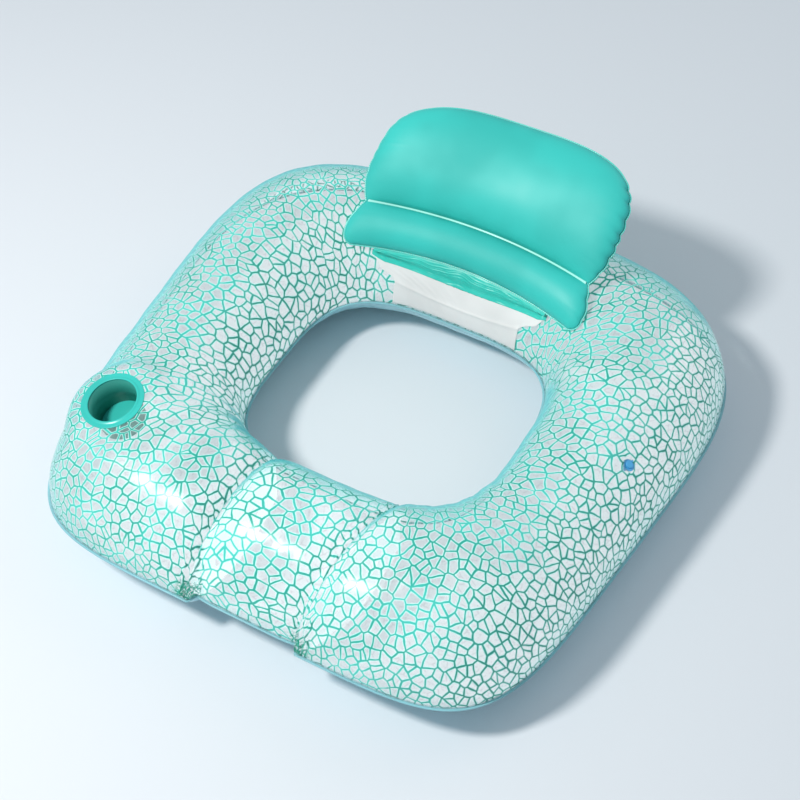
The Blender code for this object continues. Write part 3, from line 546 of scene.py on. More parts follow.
def printed_film_material(style):
    """Clear PVC film, screen printed on its outer face with a crackle of turquoise lines.

    The eye sees thin lines with a pale wash beside them, and looks through the cells. At a slant
    the film itself turns teal, and at its far limbs the tint hides the print. On slopes that face
    right, away from the key lamp, the lines are darker: painted shade. The film's faint emission
    is painted light, for light that comes through it from inside.
    """
    material, add = new_material("clear PVC film with screen printed crackle")
    distance, flat = film_pattern(add, style.cell_size)
    uneven = add("TexNoise", {"Vector": flat, "Scale": 1 / LINE_DRIFT_SIZE, "Detail": 2.0}, **ON_SHEET)
    uneven = add("MapRange", (uneven, 0.3, 0.7, -INK_SPREAD, INK_SPREAD))
    distance = add("Math", (distance, uneven), operation="ADD")
    edge = style.line_width / 2
    line = add("MapRange", (distance, edge * 0.80, edge * 1.30, 1.0, 0.0), **SMOOTH)
    wash = add("MapRange", (distance, edge, edge + WASH_WIDTH, 1.0, 0.0), **SMOOTH)

    facing = add("LayerWeight", {"Blend": 0.5}).outputs["Facing"]
    normal = add("TexCoord").outputs["Normal"]
    away = add("VectorMath", (normal, (-0.5, 0.85, 0.0)), operation="DOT_PRODUCT")
    # Painted shade: slopes that face right, away from the key lamp, get darker lines; the same mask also
    # weakens the slant tint there.
    right = add("VectorMath", (normal, (1.0, -0.2, 0.0)), operation="DOT_PRODUCT")
    right = add("MapRange", (right, 0.10, 0.75), **SMOOTH)
    slant = add("MapRange", (facing, 0.40, 0.80), **SMOOTH)
    less = add("MapRange", (right, 0.0, 1.0, 1.0, 0.35))
    slant = add("Math", (slant, less), operation="MULTIPLY")
    limb = add("MapRange", (facing, 0.64, 0.84), **SMOOTH)
    away = add("MapRange", (away, 0.0, 0.30), **SMOOTH)
    limb = add("Math", (limb, away), operation="MULTIPLY")
    print_left = add("MapRange", (limb, 0.0, 1.0, 1.0, 0.15))
    crumple = crumpled_ends(add)
    line = add("Math", (line, print_left), operation="MULTIPLY")
    line = add("Math", (line, crumple), operation="MAXIMUM")
    wash = add("Math", (wash, print_left), operation="MULTIPLY")

    thick = add("TexNoise", {"Vector": flat, "Scale": 1 / INK_DRIFT_SIZE, "Detail": 1.0}, **ON_SHEET)
    thick = add("MapRange", (thick, 0.35, 0.65), **SMOOTH)
    cell, ink = style.cell_colour, style.line_colour
    for factor, share, over in (
        (slant, 1.0, style.slant_colour), (limb, 1.0, style.limb_colour), (wash, 0.90, style.wash_colour),
    ):
        factor = add("Math", (factor, share), operation="MULTIPLY")
        cell = add("Mix", {0: factor, 6: cell, 7: over}, **COLOURS)
    for factor, share, over in (
        (thick, 1.0, style.line_deep_colour), (slant, 0.80, linear("1A8274")),
        # Painted shade: lines on slopes that face right are pulled toward dark teal 14705E.
        (right, 0.75, linear("14705E")), (crumple, 1.0, linear("16A282")),
    ):
        factor = add("Math", (factor, share), operation="MULTIPLY")
        ink = add("Mix", {0: factor, 6: ink, 7: over}, **COLOURS)
    colour = add("Mix", {0: line, 6: cell, 7: ink}, **COLOURS)
    # Painted light: emission colour, the cell colour in the cells and dark teal 1A6A5E on the lines, for
    # light that comes through the film from inside.
    painted_glow_colour = add("Mix", {0: line, 6: cell, 7: linear("1A6A5E")}, **COLOURS)
    tint = add("Mix", {0: slant, 6: linear(CLEAR_CODE), 7: linear("DDF8F8")}, **COLOURS)
    tint = add("Mix", {0: line, 6: tint, 7: linear("A0F0E2")}, **COLOURS)

    cover = add("MapRange", (slant, 0.0, 1.0, style.cell_cover, 0.26))
    for factor, share, operation in ((limb, 0.58, "ADD"), (wash, 0.70, "ADD"), (line, 0.88, "MAXIMUM")):
        factor = add("Math", (factor, share), operation="MULTIPLY")
        cover = add("Math", (cover, factor), operation=operation)
    inked = add("BsdfPrincipled", {
        "Base Color": colour, "Roughness": 0.35, "IOR": 1.2, "Emission Color": painted_glow_colour, "Emission Strength": 0.24,
    })
    film = add("MixShader", (cover, add("BsdfTransparent", (tint,)), inked))
    shine = add("Fresnel", (1.24,))
    less = add("MapRange", (limb, 0.0, 1.0, 1.0, 0.25))
    shine = add("Math", (shine, less), operation="MULTIPLY")
    gloss = add("BsdfGlossy", {"Color": linear("FFFFFF"), "Roughness": style.roughness})
    add("OutputMaterial", (add("MixShader", (shine, film, gloss)),))
    return material


def clear_film_material():
    """Unprinted inner face of the clear film, with a faint drift in its clarity."""
    material, add = new_material("clear PVC film, inner face")
    place = add("TexCoord").outputs["Object"]
    drift = add("TexNoise", {"Vector": place, "Scale": 1 / CLEAR_DRIFT_SIZE, "Detail": 2.0})
    slant = add("LayerWeight", {"Blend": 0.5}).outputs["Facing"]
    slant = add("MapRange", (slant, 0.30, 0.85), **SMOOTH)
    tint = linear("FFFFFF")
    for factor, over in ((drift, CLEAR_CODE), (slant, "E7FAFA")):
        tint = add("Mix", {0: factor, 6: tint, 7: linear(over)}, **COLOURS)
    add("OutputMaterial", (add("BsdfTransparent", (tint,)),))
    return material


def lining_material(style):
    """White side of the lower film, seen through the clear one: pearly, with faint grey-pink veins
    where the print's lines shade it. Its emission is painted light, for the light that comes in
    through the lower film."""
    material, add = new_material("white lined PVC film, glowing with painted light")
    distance, flat = film_pattern(add, style.cell_size * 0.80, 0.004)
    vein = add("MapRange", (distance, 0.0, 0.0026, 0.75, 0.0), **SMOOTH)
    patch = add("TexNoise", {"Vector": flat, "Scale": 1 / VEIN_DRIFT_SIZE, "Detail": 2.0}, **ON_SHEET)
    patch = add("MapRange", (patch, 0.40, 0.62), **SMOOTH)
    vein = add("Math", (vein, patch), operation="MULTIPLY")
    colour = add("Mix", {0: vein, 6: style.lining_colour, 7: linear("9C8C96")}, **COLOURS)
    # Painted light: the lining's emission stands in for light that comes in through the lower film.
    shader = add("BsdfPrincipled", {
        "Base Color": colour, "Roughness": 0.55, "IOR": 1.3,
        "Emission Color": linear(PAINTED_GLOW_CODE), "Emission Strength": style.painted_glow,
    })
    add("OutputMaterial", (shader,))
    return material


def plain_film_material(name, colour, cover, roughness, painted_glow=0.0):
    """Calendered PVC film in one tint, a little see-through, with a slow drift in its tint and gloss
    and a fine grain."""
    material, add = new_material(name)
    place = add("TexCoord").outputs["Object"]
    drift = add("TexNoise", {"Vector": place, "Scale": 1 / TINT_DRIFT_SIZE, "Detail": 2.0})
    grain = add("TexNoise", {"Vector": place, "Scale": 1 / GRAIN_SIZE, "Detail": 2.0})
    deeper = add("MapRange", (drift, 0.35, 0.65), **SMOOTH)
    tint = add("Mix", {0: deeper, 6: colour, 7: [v * 0.88 for v in colour]}, **COLOURS)
    rough = add("MapRange", (drift, 0.3, 0.7, roughness * 0.85, roughness * 1.2))
    bump = add("Bump", {"Height": grain, "Strength": 0.04, "Distance": 0.0004})
    # The emission strength setting is painted light; only the baffle webs get any.
    shader = add("BsdfPrincipled", {
        "Base Color": tint, "Roughness": rough, "IOR": 1.38, "Alpha": cover, "Normal": bump,
        "Emission Color": linear(PAINTED_GLOW_CODE), "Emission Strength": painted_glow,
    })
    add("OutputMaterial", (shader,))
    return material


# Shape of the backrest


def pillow_top_height(x):
    """Height of the pillow's outline above the divider, from its middle to a corner."""
    exponent = exponent_of(PILLOW_CORNER_SHARE)
    fall = np.clip(1 - np.abs(x / PILLOW_HALF_WIDTH) ** exponent, 0, None) ** (1 / exponent)
    return PILLOW_WIDEST_HEIGHT + (PILLOW_HEIGHT - PILLOW_WIDEST_HEIGHT) * fall


def pillow_side(share):
    """Half width of the pillow at a share of its side's height."""
    corner = PILLOW_HALF_WIDTH * PILLOW_CORNER_SHARE
    height = share * pillow_top_height(corner)
    exponent = exponent_of(PILLOW_CORNER_SHARE)
    part = np.clip((height - PILLOW_WIDEST_HEIGHT) / (PILLOW_HEIGHT - PILLOW_WIDEST_HEIGHT), 0, 1)
    upper = PILLOW_HALF_WIDTH * (1 - part**exponent) ** (1 / exponent)
    low = np.clip(1 - height / PILLOW_WIDEST_HEIGHT, 0, 1)
    lower = PILLOW_HALF_WIDTH - (PILLOW_HALF_WIDTH - NIP_HALF_WIDTH) * low**3
    return np.where(height > PILLOW_WIDEST_HEIGHT, upper, lower)


def roll_side(share):
    """Half width of the roll at a share of its depth below the divider."""
    swell = np.sin(math.pi / 2 * share / ROLL_WIDEST_SHARE)
    return NIP_HALF_WIDTH + (ROLL_HALF_WIDTH - NIP_HALF_WIDTH) * swell


def rounded_corners(side, row):
    """Draws the square ends of the roll's lower edge in to round ones."""
    reach_x, reach_y = ROLL_CORNER_ROUNDING / ROLL_HALF_WIDTH, ROLL_CORNER_ROUNDING / ROLL_HEIGHT
    a = np.clip(1 - (1 - np.abs(side)) / reach_x, 0, 1)
    b = np.clip(1 - (1 - row) / reach_y, 0, 1)
    inner_a, inner_b = a * np.sqrt(1 - b * b / 2), b * np.sqrt(1 - a * a / 2)
    return side - np.sign(side) * (a - inner_a) * reach_x, row - (b - inner_b) * reach_y


def scallops(side, place):
    """How far the side edge is drawn in between the pleats of its weld, strongest on the right."""
    phase = place / SCALLOP_PITCH + 0.15 * np.sin(place * 61.0)
    near = np.clip((np.abs(side) - 0.90) / 0.10, 0, 1) ** 2
    return SCALLOP_DEPTH * np.where(side > 0, 1.0, 0.3) * near * (1 - np.abs(np.sin(math.pi * phase)))


def backrest_points(side, row, chamber, bulge, offset=0.0):
    """Points of one face of the backrest, from shares across and up each chamber."""
    side, row = np.broadcast_arrays(np.asarray(side, dtype=float), np.asarray(row, dtype=float))
    crown_side, crown_row = side, row
    if chamber == "roll":
        side, row = rounded_corners(side, row)
    rise = DIVIDER_RISE * (1 - side**2)
    growth = FILM_GROWTH * np.where(side > 0, 1.0, -0.4)
    if chamber == "pillow":
        slack = (1 - side) / 2
        x = side * (pillow_side(row) + growth) + PILLOW_SWAY * slack * row
        x = x - side * scallops(side, row * PILLOW_HEIGHT) * eased(row / 0.2) * eased((1 - row) / 0.15)
        top = pillow_top_height(side * PILLOW_HALF_WIDTH * PILLOW_CORNER_SHARE)
        height = row * (top - PILLOW_DROP * slack + TOP_GROWTH) + (1 - row) * (rise + DIVIDER_WIDTH / 2)
        powers = (3.5, 2.3)
    else:
        x = side * (roll_side(row) + growth - 0.7 * scallops(side, row * 0.09) * eased(row / 0.2))
        bottom = ROLL_HEIGHT + ROLL_CORNER_DROOP * side**2 + FILM_GROWTH
        height = (1 - row) * (rise - DIVIDER_WIDTH / 2) - row * bottom
        powers = (4.0, 2.2)
    crown = np.sqrt(np.clip(1 - np.abs(crown_side) ** powers[0], 0, None))
    crown = crown * np.sqrt(np.clip(1 - np.abs(2 * crown_row - 1) ** powers[1], 0, None))
    lift = bulge * crown - BACKREST_BOW * (1 - (x / BACKREST_BOW_HALF_WIDTH) ** 2) + offset
    points = BACKREST_ORIGIN + height[..., None] * BACKREST_UP + lift[..., None] * BACKREST_FRONT
    points[..., 0] += x
    return points


def edge_puckers(from_edge, place, seed, height, reach):
    """Scallops along an edge weld: round between sharp valleys, fading inwards from the edge. Metres."""
    phase = place / 0.029 + 0.35 * wave_noise(place, 0.13, seed, 2)
    scallop = np.abs(np.sin(math.pi * phase)) - 0.55
    strength = np.clip(0.75 + 0.6 * wave_noise(place, 0.09, seed + 7, 2), 0.2, 1.4)
    depth = reach * np.clip(1 + 0.5 * wave_noise(place, 0.05, seed + 9, 2), 0.5, 1.6)
    return height * scallop * strength * np.exp(-from_edge / depth) * np.clip(from_edge / 0.004, 0, 1)


# Settings


def srgb(name, description, code):
    return FloatVectorProperty(name=name, description=description, subtype="COLOR", default=linear(code))


def metres(name, description, value):
    return FloatProperty(name=name, description=description, default=value, unit="LENGTH")


def degrees(name, description, value):
    return FloatProperty(name=name, description=description, default=math.radians(value), subtype="ANGLE")


class RingSettings(bpy.types.PropertyGroup):
    station_count: IntProperty(name="Stations", description="Cross sections round the ring", default=620)
    row_count: IntProperty(name="Rows", description="Points across each film", default=56)
    pucker_height: metres("Pucker height", "Height of the pleats at the outer seam", 0.0012)
    seam_width: metres("Seam width", "Width of the welded seam", 0.005)
    rib_spacing: metres("Weld rib spacing", "Distance between the seam's pressed ribs", 0.0045)


class PrintSettings(bpy.types.PropertyGroup):
    cell_size: metres("Cell size", "Mean size of a cell of the print", 0.0194)
    line_width: metres("Line width", "Width of the print's lines", 0.0030)
    cell_cover: FloatProperty(
        name="Cell cover", description="How much the ink's clear base covers", default=0.09
    )
    line_colour: srgb("Line", "Colour of the printed lines", "3EC6B8")
    line_deep_colour: srgb("Deep line", "Lines where the ink is thicker", "1CA08E")
    wash_colour: srgb("Wash", "Pale wash beside a line", "98F2E8")
    cell_colour: srgb("Cell", "Clear film seen head on", "F6F6F8")
    slant_colour: srgb("Slant", "Clear film seen at a slant", "A4E2E2")
    limb_colour: srgb("Limb", "Film at its far edges", "3EB6BA")
    lining_colour: srgb("Lining", "White side of the lower film", "C4BCC0")
    roughness: FloatProperty(name="Roughness", description="Of the film's gloss", default=0.20)
    # Painted light: strength of the emission on the lining and the baffle webs, standing in for light that
    # comes in through the lower film.
    painted_glow: FloatProperty(
        name="Glow", description="Light that reaches the lining through the lower film", default=0.43
    )


class FilmSettings(bpy.types.PropertyGroup):
    backrest_colour: srgb("Backrest", "Turquoise film", "3CC8BF")
    flange_colour: srgb("Flange", "Pressed edge weld of the backrest", "5CD8CC")
    # Pressed weld; its pale colour is partly a painted highlight along the weld's ridge.
    divider_weld_and_highlight_colour: srgb("Divider", "Pressed weld across the backrest", "B4FAEF")
    under_colour: srgb("Underside", "Outside of the lower film", "B2E4EE")
    seam_colour: srgb("Seam", "Welded seams of the ring", "A0DCE6")
    baffle_colour: srgb("Baffle", "Webs inside the ring", "F6F8F8")
    flap_colour: srgb("Flap", "See-through hinge flap", "3EDACA")
    panel_colour: srgb("Panel", "Plain panel behind the seat", "EFEDEC")
    cup_rim_colour: srgb("Cup rim", "Rim and floor of the cup holder", "3AC2B8")
    # The wall is darker than the rim and floor: partly its own colour, partly painted shade inside the cup.
    cup_wall_colour_and_shade: srgb("Cup wall", "Wall of the cup holder", "37968A")
    valve_colour: srgb("Valve", "Moulded valves", "5CC0FA")


class StageSettings(bpy.types.PropertyGroup):
    floor_colour: srgb("Floor", "Plain pale floor", "DFE4E9")
    camera_azimuth: degrees("Azimuth", "Camera's turn round the lounger", 29.3937)
    camera_elevation: degrees("Elevation", "Camera's height angle", 50.237)
    camera_distance: metres("Distance", "Camera to the middle of the ring's underside", 3.1406)


MATERIALS = {}


def materials():
    """The finishes, made once and shared by the pieces."""
    if not MATERIALS:
        style, film = bpy.context.scene.lounger_print, bpy.context.scene.lounger_film
        MATERIALS["print"] = printed_film_material(style)
        MATERIALS["clear"] = clear_film_material()
        MATERIALS["lining"] = lining_material(style)
        # Key, name, colour, cover, roughness and strength of the painted emission. Thick film is satin,
        # and thin film, pressed welds and mouldings shine. The divider's pale colour is partly a painted
        # highlight, and the cup wall's darker colour is partly painted shade.
        for key, *plain in (
            ("under", "tinted PVC film", film.under_colour, 1.0, 0.25),
            ("seam", "high frequency welded PVC seam", film.seam_colour, 0.70, 0.25),
            # The baffle webs carry the same painted emission as the lining.
            ("baffle", "white PVC baffle web", film.baffle_colour, 1.0, 0.50, style.painted_glow),
            ("backrest", "turquoise PVC film", film.backrest_colour, 1.0, 0.50),
            ("flange", "pressed turquoise PVC weld", film.flange_colour, 1.0, 0.25),
            ("divider", "pressed divider weld", film.divider_weld_and_highlight_colour, 1.0, 0.25),
            ("flap", "see-through turquoise PVC film", film.flap_colour, 0.86, 0.30),
            ("panel", "white satin PVC film", film.panel_colour, 1.0, 0.50),
            ("rim", "moulded turquoise PVC", film.cup_rim_colour, 1.0, 0.28),
            ("wall", "deep drawn green PVC", film.cup_wall_colour_and_shade, 1.0, 0.30),
            ("valve", "soft moulded blue PVC", film.valve_colour, 0.85, 0.22),
        ):
            MATERIALS[key] = plain_film_material(*plain)
    return MATERIALS


# Pieces


class LOUNGER_OT_ring_films(bpy.types.Operator):
    """Adds the ring's printed top film and its lined lower film"""

    bl_idname = "lounger.ring_films"
    bl_label = "Ring Films"

    def execute(self, context):
        settings = context.scene.lounger_ring
        sections = ring_sections(ring_lengths(settings.station_count))
        shares = end_crowded(settings.row_count, 0.35)
        flat = film_coordinates(sections, shares)

        lift = seam_puckers(sections, shares, 11, settings.pucker_height, 0.0006)
        lift += crease_folds(sections, shares, 21)
        top = skin_points(sections, shares, 1) + skin_normals(sections, shares, 1) * lift[..., None]
        top[:, 1:-1] = drawn_to_cup(top[:, 1:-1])
        mesh = grid_mesh("ring_top_film", top, wrap=True, flip=True, sheet=flat)
        remove_round_hole(mesh, *cup_seat(), CUP_HOLE_RADIUS)
        remove_round_hole(mesh, *valve_place("ring"), VALVE_HOLE_RADIUS)
        keys = ("print", "clear")
        piece = new_film(mesh, keys, "ring_top_sheet", "ring", outward=False)

        under = skin_points(sections, shares, -1)
        lift = seam_puckers(sections, shares, 31, settings.pucker_height * 0.8, 0.0005)
        lift = lift * (under[..., 2] > RESTING_HEIGHT)
        under = under + skin_normals(sections, shares, -1) * lift[..., None]
        mesh = grid_mesh("ring_under_film", under, wrap=True, sheet=flat)
        keys = ("under", "lining")
        piece = new_film(mesh, keys, "ring_bottom_sheet", "ring", outward=False)
        return {"FINISHED"}


def band_tree():
    """Geometry Nodes: a flat welded band along a path, with pressed ribs across it."""
    tree = bpy.data.node_groups.new("welded band", "GeometryNodeTree")
    add = partial(add_node, tree)
    for label, kind in (
        ("Geometry", "Geometry"), ("Width", "Float"), ("Thickness", "Float"), ("Rib Spacing", "Float"),
        ("Material", "Material"),
    ):
        tree.interface.new_socket(label, in_out="INPUT", socket_type="NodeSocket" + kind)
    tree.interface.new_socket("Geometry", in_out="OUTPUT", socket_type="NodeSocketGeometry")
    given = add("NodeGroupInput").outputs
    path = add("GeometryNodeMeshToCurve", {"Mesh": given["Geometry"]})
    up = add("GeometryNodeInputNamedAttribute", {"Name": "up"}, data_type="FLOAT_VECTOR")
    turned = {"Curve": path, "Normal": up.outputs["Attribute"]}
    turned = add("GeometryNodeSetCurveNormal", turned, mode="FREE")
    across = {"Width": given["Thickness"], "Height": given["Width"]}
    profile = add("GeometryNodeCurvePrimitiveQuadrilateral", across, mode="RECTANGLE")
    strip = add("GeometryNodeCurveToMesh", {"Curve": turned, "Profile Curve": profile})
    spacing = {"Curve": turned, "Length": given["Rib Spacing"]}
    spots = add("GeometryNodeCurveToPoints", spacing, mode="LENGTH").outputs
    rib_size = [
        add("Math", (given[label], share), operation="MULTIPLY")
        for label, share in (("Thickness", 1.5), ("Width", 0.72), ("Rib Spacing", 0.34))
    ]
    rib = add("GeometryNodeMeshCube", {"Size": add("CombineXYZ", rib_size)})
    ribs = add(
        "GeometryNodeInstanceOnPoints",
        {"Points": spots["Points"], "Instance": rib.outputs["Mesh"], "Rotation": spots["Rotation"]},
    )
    joined = add("GeometryNodeJoinGeometry")
    for part in (ribs, strip):
        tree.links.new(part.outputs[0], joined.inputs[0])
    real = add("GeometryNodeRealizeInstances", (joined,))
    done = add("GeometryNodeSetMaterial", {"Geometry": real, "Material": given["Material"]})
    add("NodeGroupOutput", (done,))
    return tree


def welded_band(name, node, points, up, width, finish, body):
    """A welded band round a closed path, made by Geometry Nodes and kept as a plain mesh."""
    count = len(points)
    mesh = bpy.data.meshes.new(name + "_path")
    mesh.from_pydata(points.tolist(), [(k, (k + 1) % count) for k in range(count)], [])
    layer = mesh.attributes.new("up", "FLOAT_VECTOR", "POINT")
    layer.data.foreach_set("vector", np.tile(up, count).astype(np.float32))
    path = new_piece(mesh, (), smooth=False)
    nodes = path.modifiers.new("welded band", "NODES")
    nodes.node_group = bpy.data.node_groups.get("welded band") or band_tree()
    inputs = {
        "Width": width,
        "Thickness": SEAM_THICKNESS,
        "Rib Spacing": bpy.context.scene.lounger_ring.rib_spacing,
        "Material": materials()[finish],
    }
    for socket in nodes.node_group.interface.items_tree:
        if socket.name in inputs:
            nodes[socket.identifier] = inputs[socket.name]
    bpy.context.view_layer.update()
    made = bpy.data.meshes.new_from_object(path.evaluated_get(bpy.context.evaluated_depsgraph_get()))
    path.modifiers.clear()
    bpy.data.objects.remove(path, do_unlink=True)
    made.name = name
    declared(new_piece(made, (), smooth=False), node, body)


class LOUNGER_OT_ring_seams(bpy.types.Operator):
    """Adds the welded seams round the ring and round the seat hole, and finishes the baffles"""

    bl_idname = "lounger.ring_seams"
    bl_label = "Ring Seams"

    def execute(self, context):
        settings = context.scene.lounger_ring
        sections = ring_sections(ring_lengths(settings.station_count))
        away = CLEARANCE + settings.seam_width / 2
        for side, edge, way in (("outer", sections.outer, 1.0), ("inner", sections.inner, -1.0)):
            flat = edge + sections.outward * away * way
            path = np.column_stack([flat, np.full(len(flat), SEAM_HEIGHT)])
            welded_band(
                f"ring_{side}_weld", f"ring_{side}_seam", path, (0.0, 0.0, 1.0), settings.seam_width,
                "seam", "ring",
            )
        for node in ("front_baffle_left", "front_baffle_right"):
            refinish(node, materials()["baffle"])
        return {"FINISHED"}


def refinish(node, material):
    """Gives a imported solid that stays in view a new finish."""
    solid = frame["nodes"][node]
    if not solid.material_slots:
        solid.data.materials.append(material)
    for slot in solid.material_slots:
        slot.material = material


def valve_place(side):
    """The middle of a valve's flange, and the way its stem pulls out."""
    joints = {joint["name"]: joint for joint in frame["record"]["behaviour"]["joints"]}
    low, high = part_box(side + "_valve_flange")
    return (Vector(low) + Vector(high)) / 2, joints[side + "_valve_pull"]["axis"]


def cup_seat():
    """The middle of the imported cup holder's rim where it meets the film, and the way out of the cup."""
    tilt = Matrix.Rotation(-CUP_SIDE_TILT, 4, "Y") @ Matrix.Rotation(CUP_FRONT_TILT, 4, "X")
    axis = tilt.col[2].to_3d()
    low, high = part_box("cup_holder_rim")
    return (Vector(low) + Vector(high)) / 2 - axis * CUP_RIM_THICKNESS / 2, axis


def aimed(place, way):
    """A placement at this point whose local Z runs the given way."""
    return Matrix.Translation(place) @ way.to_track_quat("Z", "Y").to_matrix().to_4x4()


def turned_mesh(name, profile, placement, steps=128):
    """A closed profile of (radius, height) points turned round the placement's Z."""
    radius, height = np.array([*profile, profile[0]]).T
    turn = 2 * math.pi * np.arange(steps)[:, None] / steps
    rings = np.stack([np.cos(turn) * radius, np.sin(turn) * radius, height + 0 * turn], axis=-1)
    mesh = grid_mesh(name, rings, wrap=True)
    bm = bmesh.new()
    bm.from_mesh(mesh)
    bmesh.ops.remove_doubles(bm, verts=bm.verts, dist=0.000001)
    bmesh.ops.dissolve_degenerate(bm, edges=bm.edges, dist=0.000001)
    bmesh.ops.recalc_face_normals(bm, faces=bm.faces)
    bmesh.ops.transform(bm, matrix=placement, verts=bm.verts)
    bm.to_mesh(mesh)
    bm.free()
    return mesh


def rounded_run(points, radius, steps=4):
    """A closed profile with each corner rounded by this radius."""
    out = []
    share = np.linspace(0, 1, steps + 1)[:, None]
    for k in range(len(points)):
        here = np.array(points[k])
        before = np.array(points[k - 1]) - here
        after = np.array(points[(k + 1) % len(points)]) - here
        reach = min(radius, np.linalg.norm(before) / 2.2, np.linalg.norm(after) / 2.2)
        start = here + before / np.linalg.norm(before) * reach
        end = here + after / np.linalg.norm(after) * reach
        out.extend((1 - share) ** 2 * start + 2 * share * (1 - share) * here + share * share * end)
    return out


class LOUNGER_OT_cup_holder(bpy.types.Operator):
    """Adds the cup holder's rim, wall and floor"""

    bl_idname = "lounger.cup_holder"
    bl_label = "Cup Holder"

    def execute(self, context):
        mouth, edge, foot = CUP_MOUTH_RADIUS, CUP_RIM_RADIUS, CUP_FOOT_RADIUS
        thick, wall, top, bottom = CUP_RIM_THICKNESS, CUP_WALL_THICKNESS, -CLEARANCE, -CUP_DEPTH
        under = bottom - CLEARANCE
        bead = [(mouth, thick + 0.0009), (mouth + 0.003, thick + 0.0013), (mouth + 0.006, thick)]
        rim = [(edge, thick), (edge, 0.0), (mouth, 0.0), *bead, (edge - 0.002, thick + 0.0002)]
        floor = [(foot + wall, under - 0.0012), (foot + wall, under), (0.0, under), (0.0, under - 0.0012)]
        side = [(mouth + wall, top), (foot + wall, bottom), (foot, bottom), (mouth, top)]
        for name, node, profile, finish in (
            ("cup_rim_moulding", "cup_holder_rim", rounded_run(rim, 0.0006), "rim"),
            # The wall's finish is darker than the rim's, partly painted shade inside the cup.
            ("cup_drawn_wall", "cup_holder_wall", side, "wall"),
            ("cup_floor_disc", "cup_holder_floor", rounded_run(floor, 0.0002), "rim"),
        ):
            mesh = turned_mesh(name, profile, aimed(*cup_seat()))
            declared(new_piece(mesh, [materials()[finish]]), node, "ring")
        return {"FINISHED"}


def rear_patch(reaches, shares, columns):
    """Points and normals on the slope behind the seat hole, each row with its own ends and share."""
    points, normals = [], []
    for (left, right), share in zip(reaches, shares):
        sections = ring_sections(np.linspace(length_at(right, True), length_at(left, True), columns))
        share = np.broadcast_to(share, (columns,))[:, None]
        points.append(skin_points(sections, share, 1)[:, 0])
        normals.append(skin_normals(sections, share, 1)[:, 0])
    return np.stack(points, axis=1), np.stack(normals, axis=1)


class LOUNGER_OT_rear_panel(bpy.types.Operator):
    """Adds the plain panel on the slope behind the seat hole"""

    bl_idname = "lounger.rear_panel"
    bl_label = "Rear Panel"

    def execute(self, context):
        columns, rows = 141, 41
        rising = np.linspace(0, 1, rows)
        along = np.linspace(1, -1, columns)
        flare = eased((rising - 0.50) / 0.50)[:, None]
        low_reach, top_reach = np.array(PANEL_LOW_REACH), np.array(PANEL_TOP_REACH)
        top_share = PANEL_TOP_SHARE + PANEL_TOP_RISE * np.abs(along) ** 2.5
        shares = [PANEL_LOW_SHARE + (top_share - PANEL_LOW_SHARE) * part for part in rising]
        points, normals = rear_patch(low_reach + (top_reach - low_reach) * flare, shares, columns)
        along = along[:, None]
        crease = np.exp(-np.abs(rising - 0.52 + 0.05 * (1 - along**2)) / 0.035)
        slack = wave_noise(along * 0.165 + rising * 0.06, 0.07, 41, 2)
        points = points + normals * (PANEL_LIFT + 0.0024 * crease + 0.0004 * slack)[..., None]
        mesh = grid_mesh("rear_white_panel", points, flip=True)
        piece = new_film(mesh, ("panel",), "rear_panel", "ring", thickness=0.0003)
        return {"FINISHED"}


class LOUNGER_OT_hinge_flap(bpy.types.Operator):
    """Adds the wrinkled flap from the ring to the backrest's lower flange"""

    bl_idname = "lounger.hinge_flap"
    bl_label = "Hinge Flap"

    def execute(self, context):
        columns, rows = 221, 41
        along = np.linspace(1, -1, columns)
        low = FLAP_LOW_SHARE + FLAP_LOW_RISE * np.abs(along) ** 2.5
        weld, normals = rear_patch((FLAP_REACH, FLAP_REACH), (low, low + FLAP_WELD_SHARE), columns)
        normal = normals[:, 0]
        base, weld = weld[:, 0] + normal * FLAP_LIFT, weld[:, 1] + normal * FLAP_LIFT
        side = np.clip(base[:, 0] / ROLL_HALF_WIDTH, -0.90, 0.90)
        edge = backrest_points(side, np.ones(columns), "roll", 0.0)
        lap = edge - BACKREST_UP * 0.0030 - BACKREST_FRONT * 0.0014
        below = edge - BACKREST_UP * 0.0075 - BACKREST_FRONT * 0.0016
        rail = np.stack([base, weld, (weld + below) / 2 + normal * 0.0030, below, lap], axis=1)
        across = np.linspace(0, 1, rows)
        film = hermite(np.array([0, 0.24, 0.58, 0.88, 1.0]), rail, across)
        run = along[:, None] * FLAP_REACH[1]
        free = np.clip(np.sin(math.pi * np.clip((across - 0.02) / 0.90, 0, 1)), 0, 1) ** 0.6
        fine = wave_noise(across * 0.045 + 0.003 * wave_noise(run, 0.12, 53, 2), 0.008, 51, 2)
        broad = wave_noise(run + across * 0.03, 0.060, 52, 2)
        film = film + normal[:, None, :] * (free * (0.0011 * fine + 0.0008 * broad))[..., None]
        mesh = grid_mesh("hinge_flap_film", film, flip=True)
        piece = new_film(mesh, ("flap",), "hinge_flap")
        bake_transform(piece)
        return {"FINISHED"}


def hermite(knots, values, places):
    """Smooth curves through the points at the knots, one for each row of values."""
    slopes = np.gradient(values, knots, axis=1)
    index = np.clip(np.searchsorted(knots, places, side="right") - 1, 0, len(knots) - 2)
    span = (knots[index + 1] - knots[index])[:, None]
    t = (places - knots[index])[:, None] / span
    from_near = (2 * t**3 - 3 * t**2 + 1) * values[:, index] + (t**3 - 2 * t**2 + t) * slopes[:, index] * span
    from_far = (3 * t**2 - 2 * t**3) * values[:, index + 1] + (t**3 - t**2) * slopes[:, index + 1] * span
    return from_near + from_far


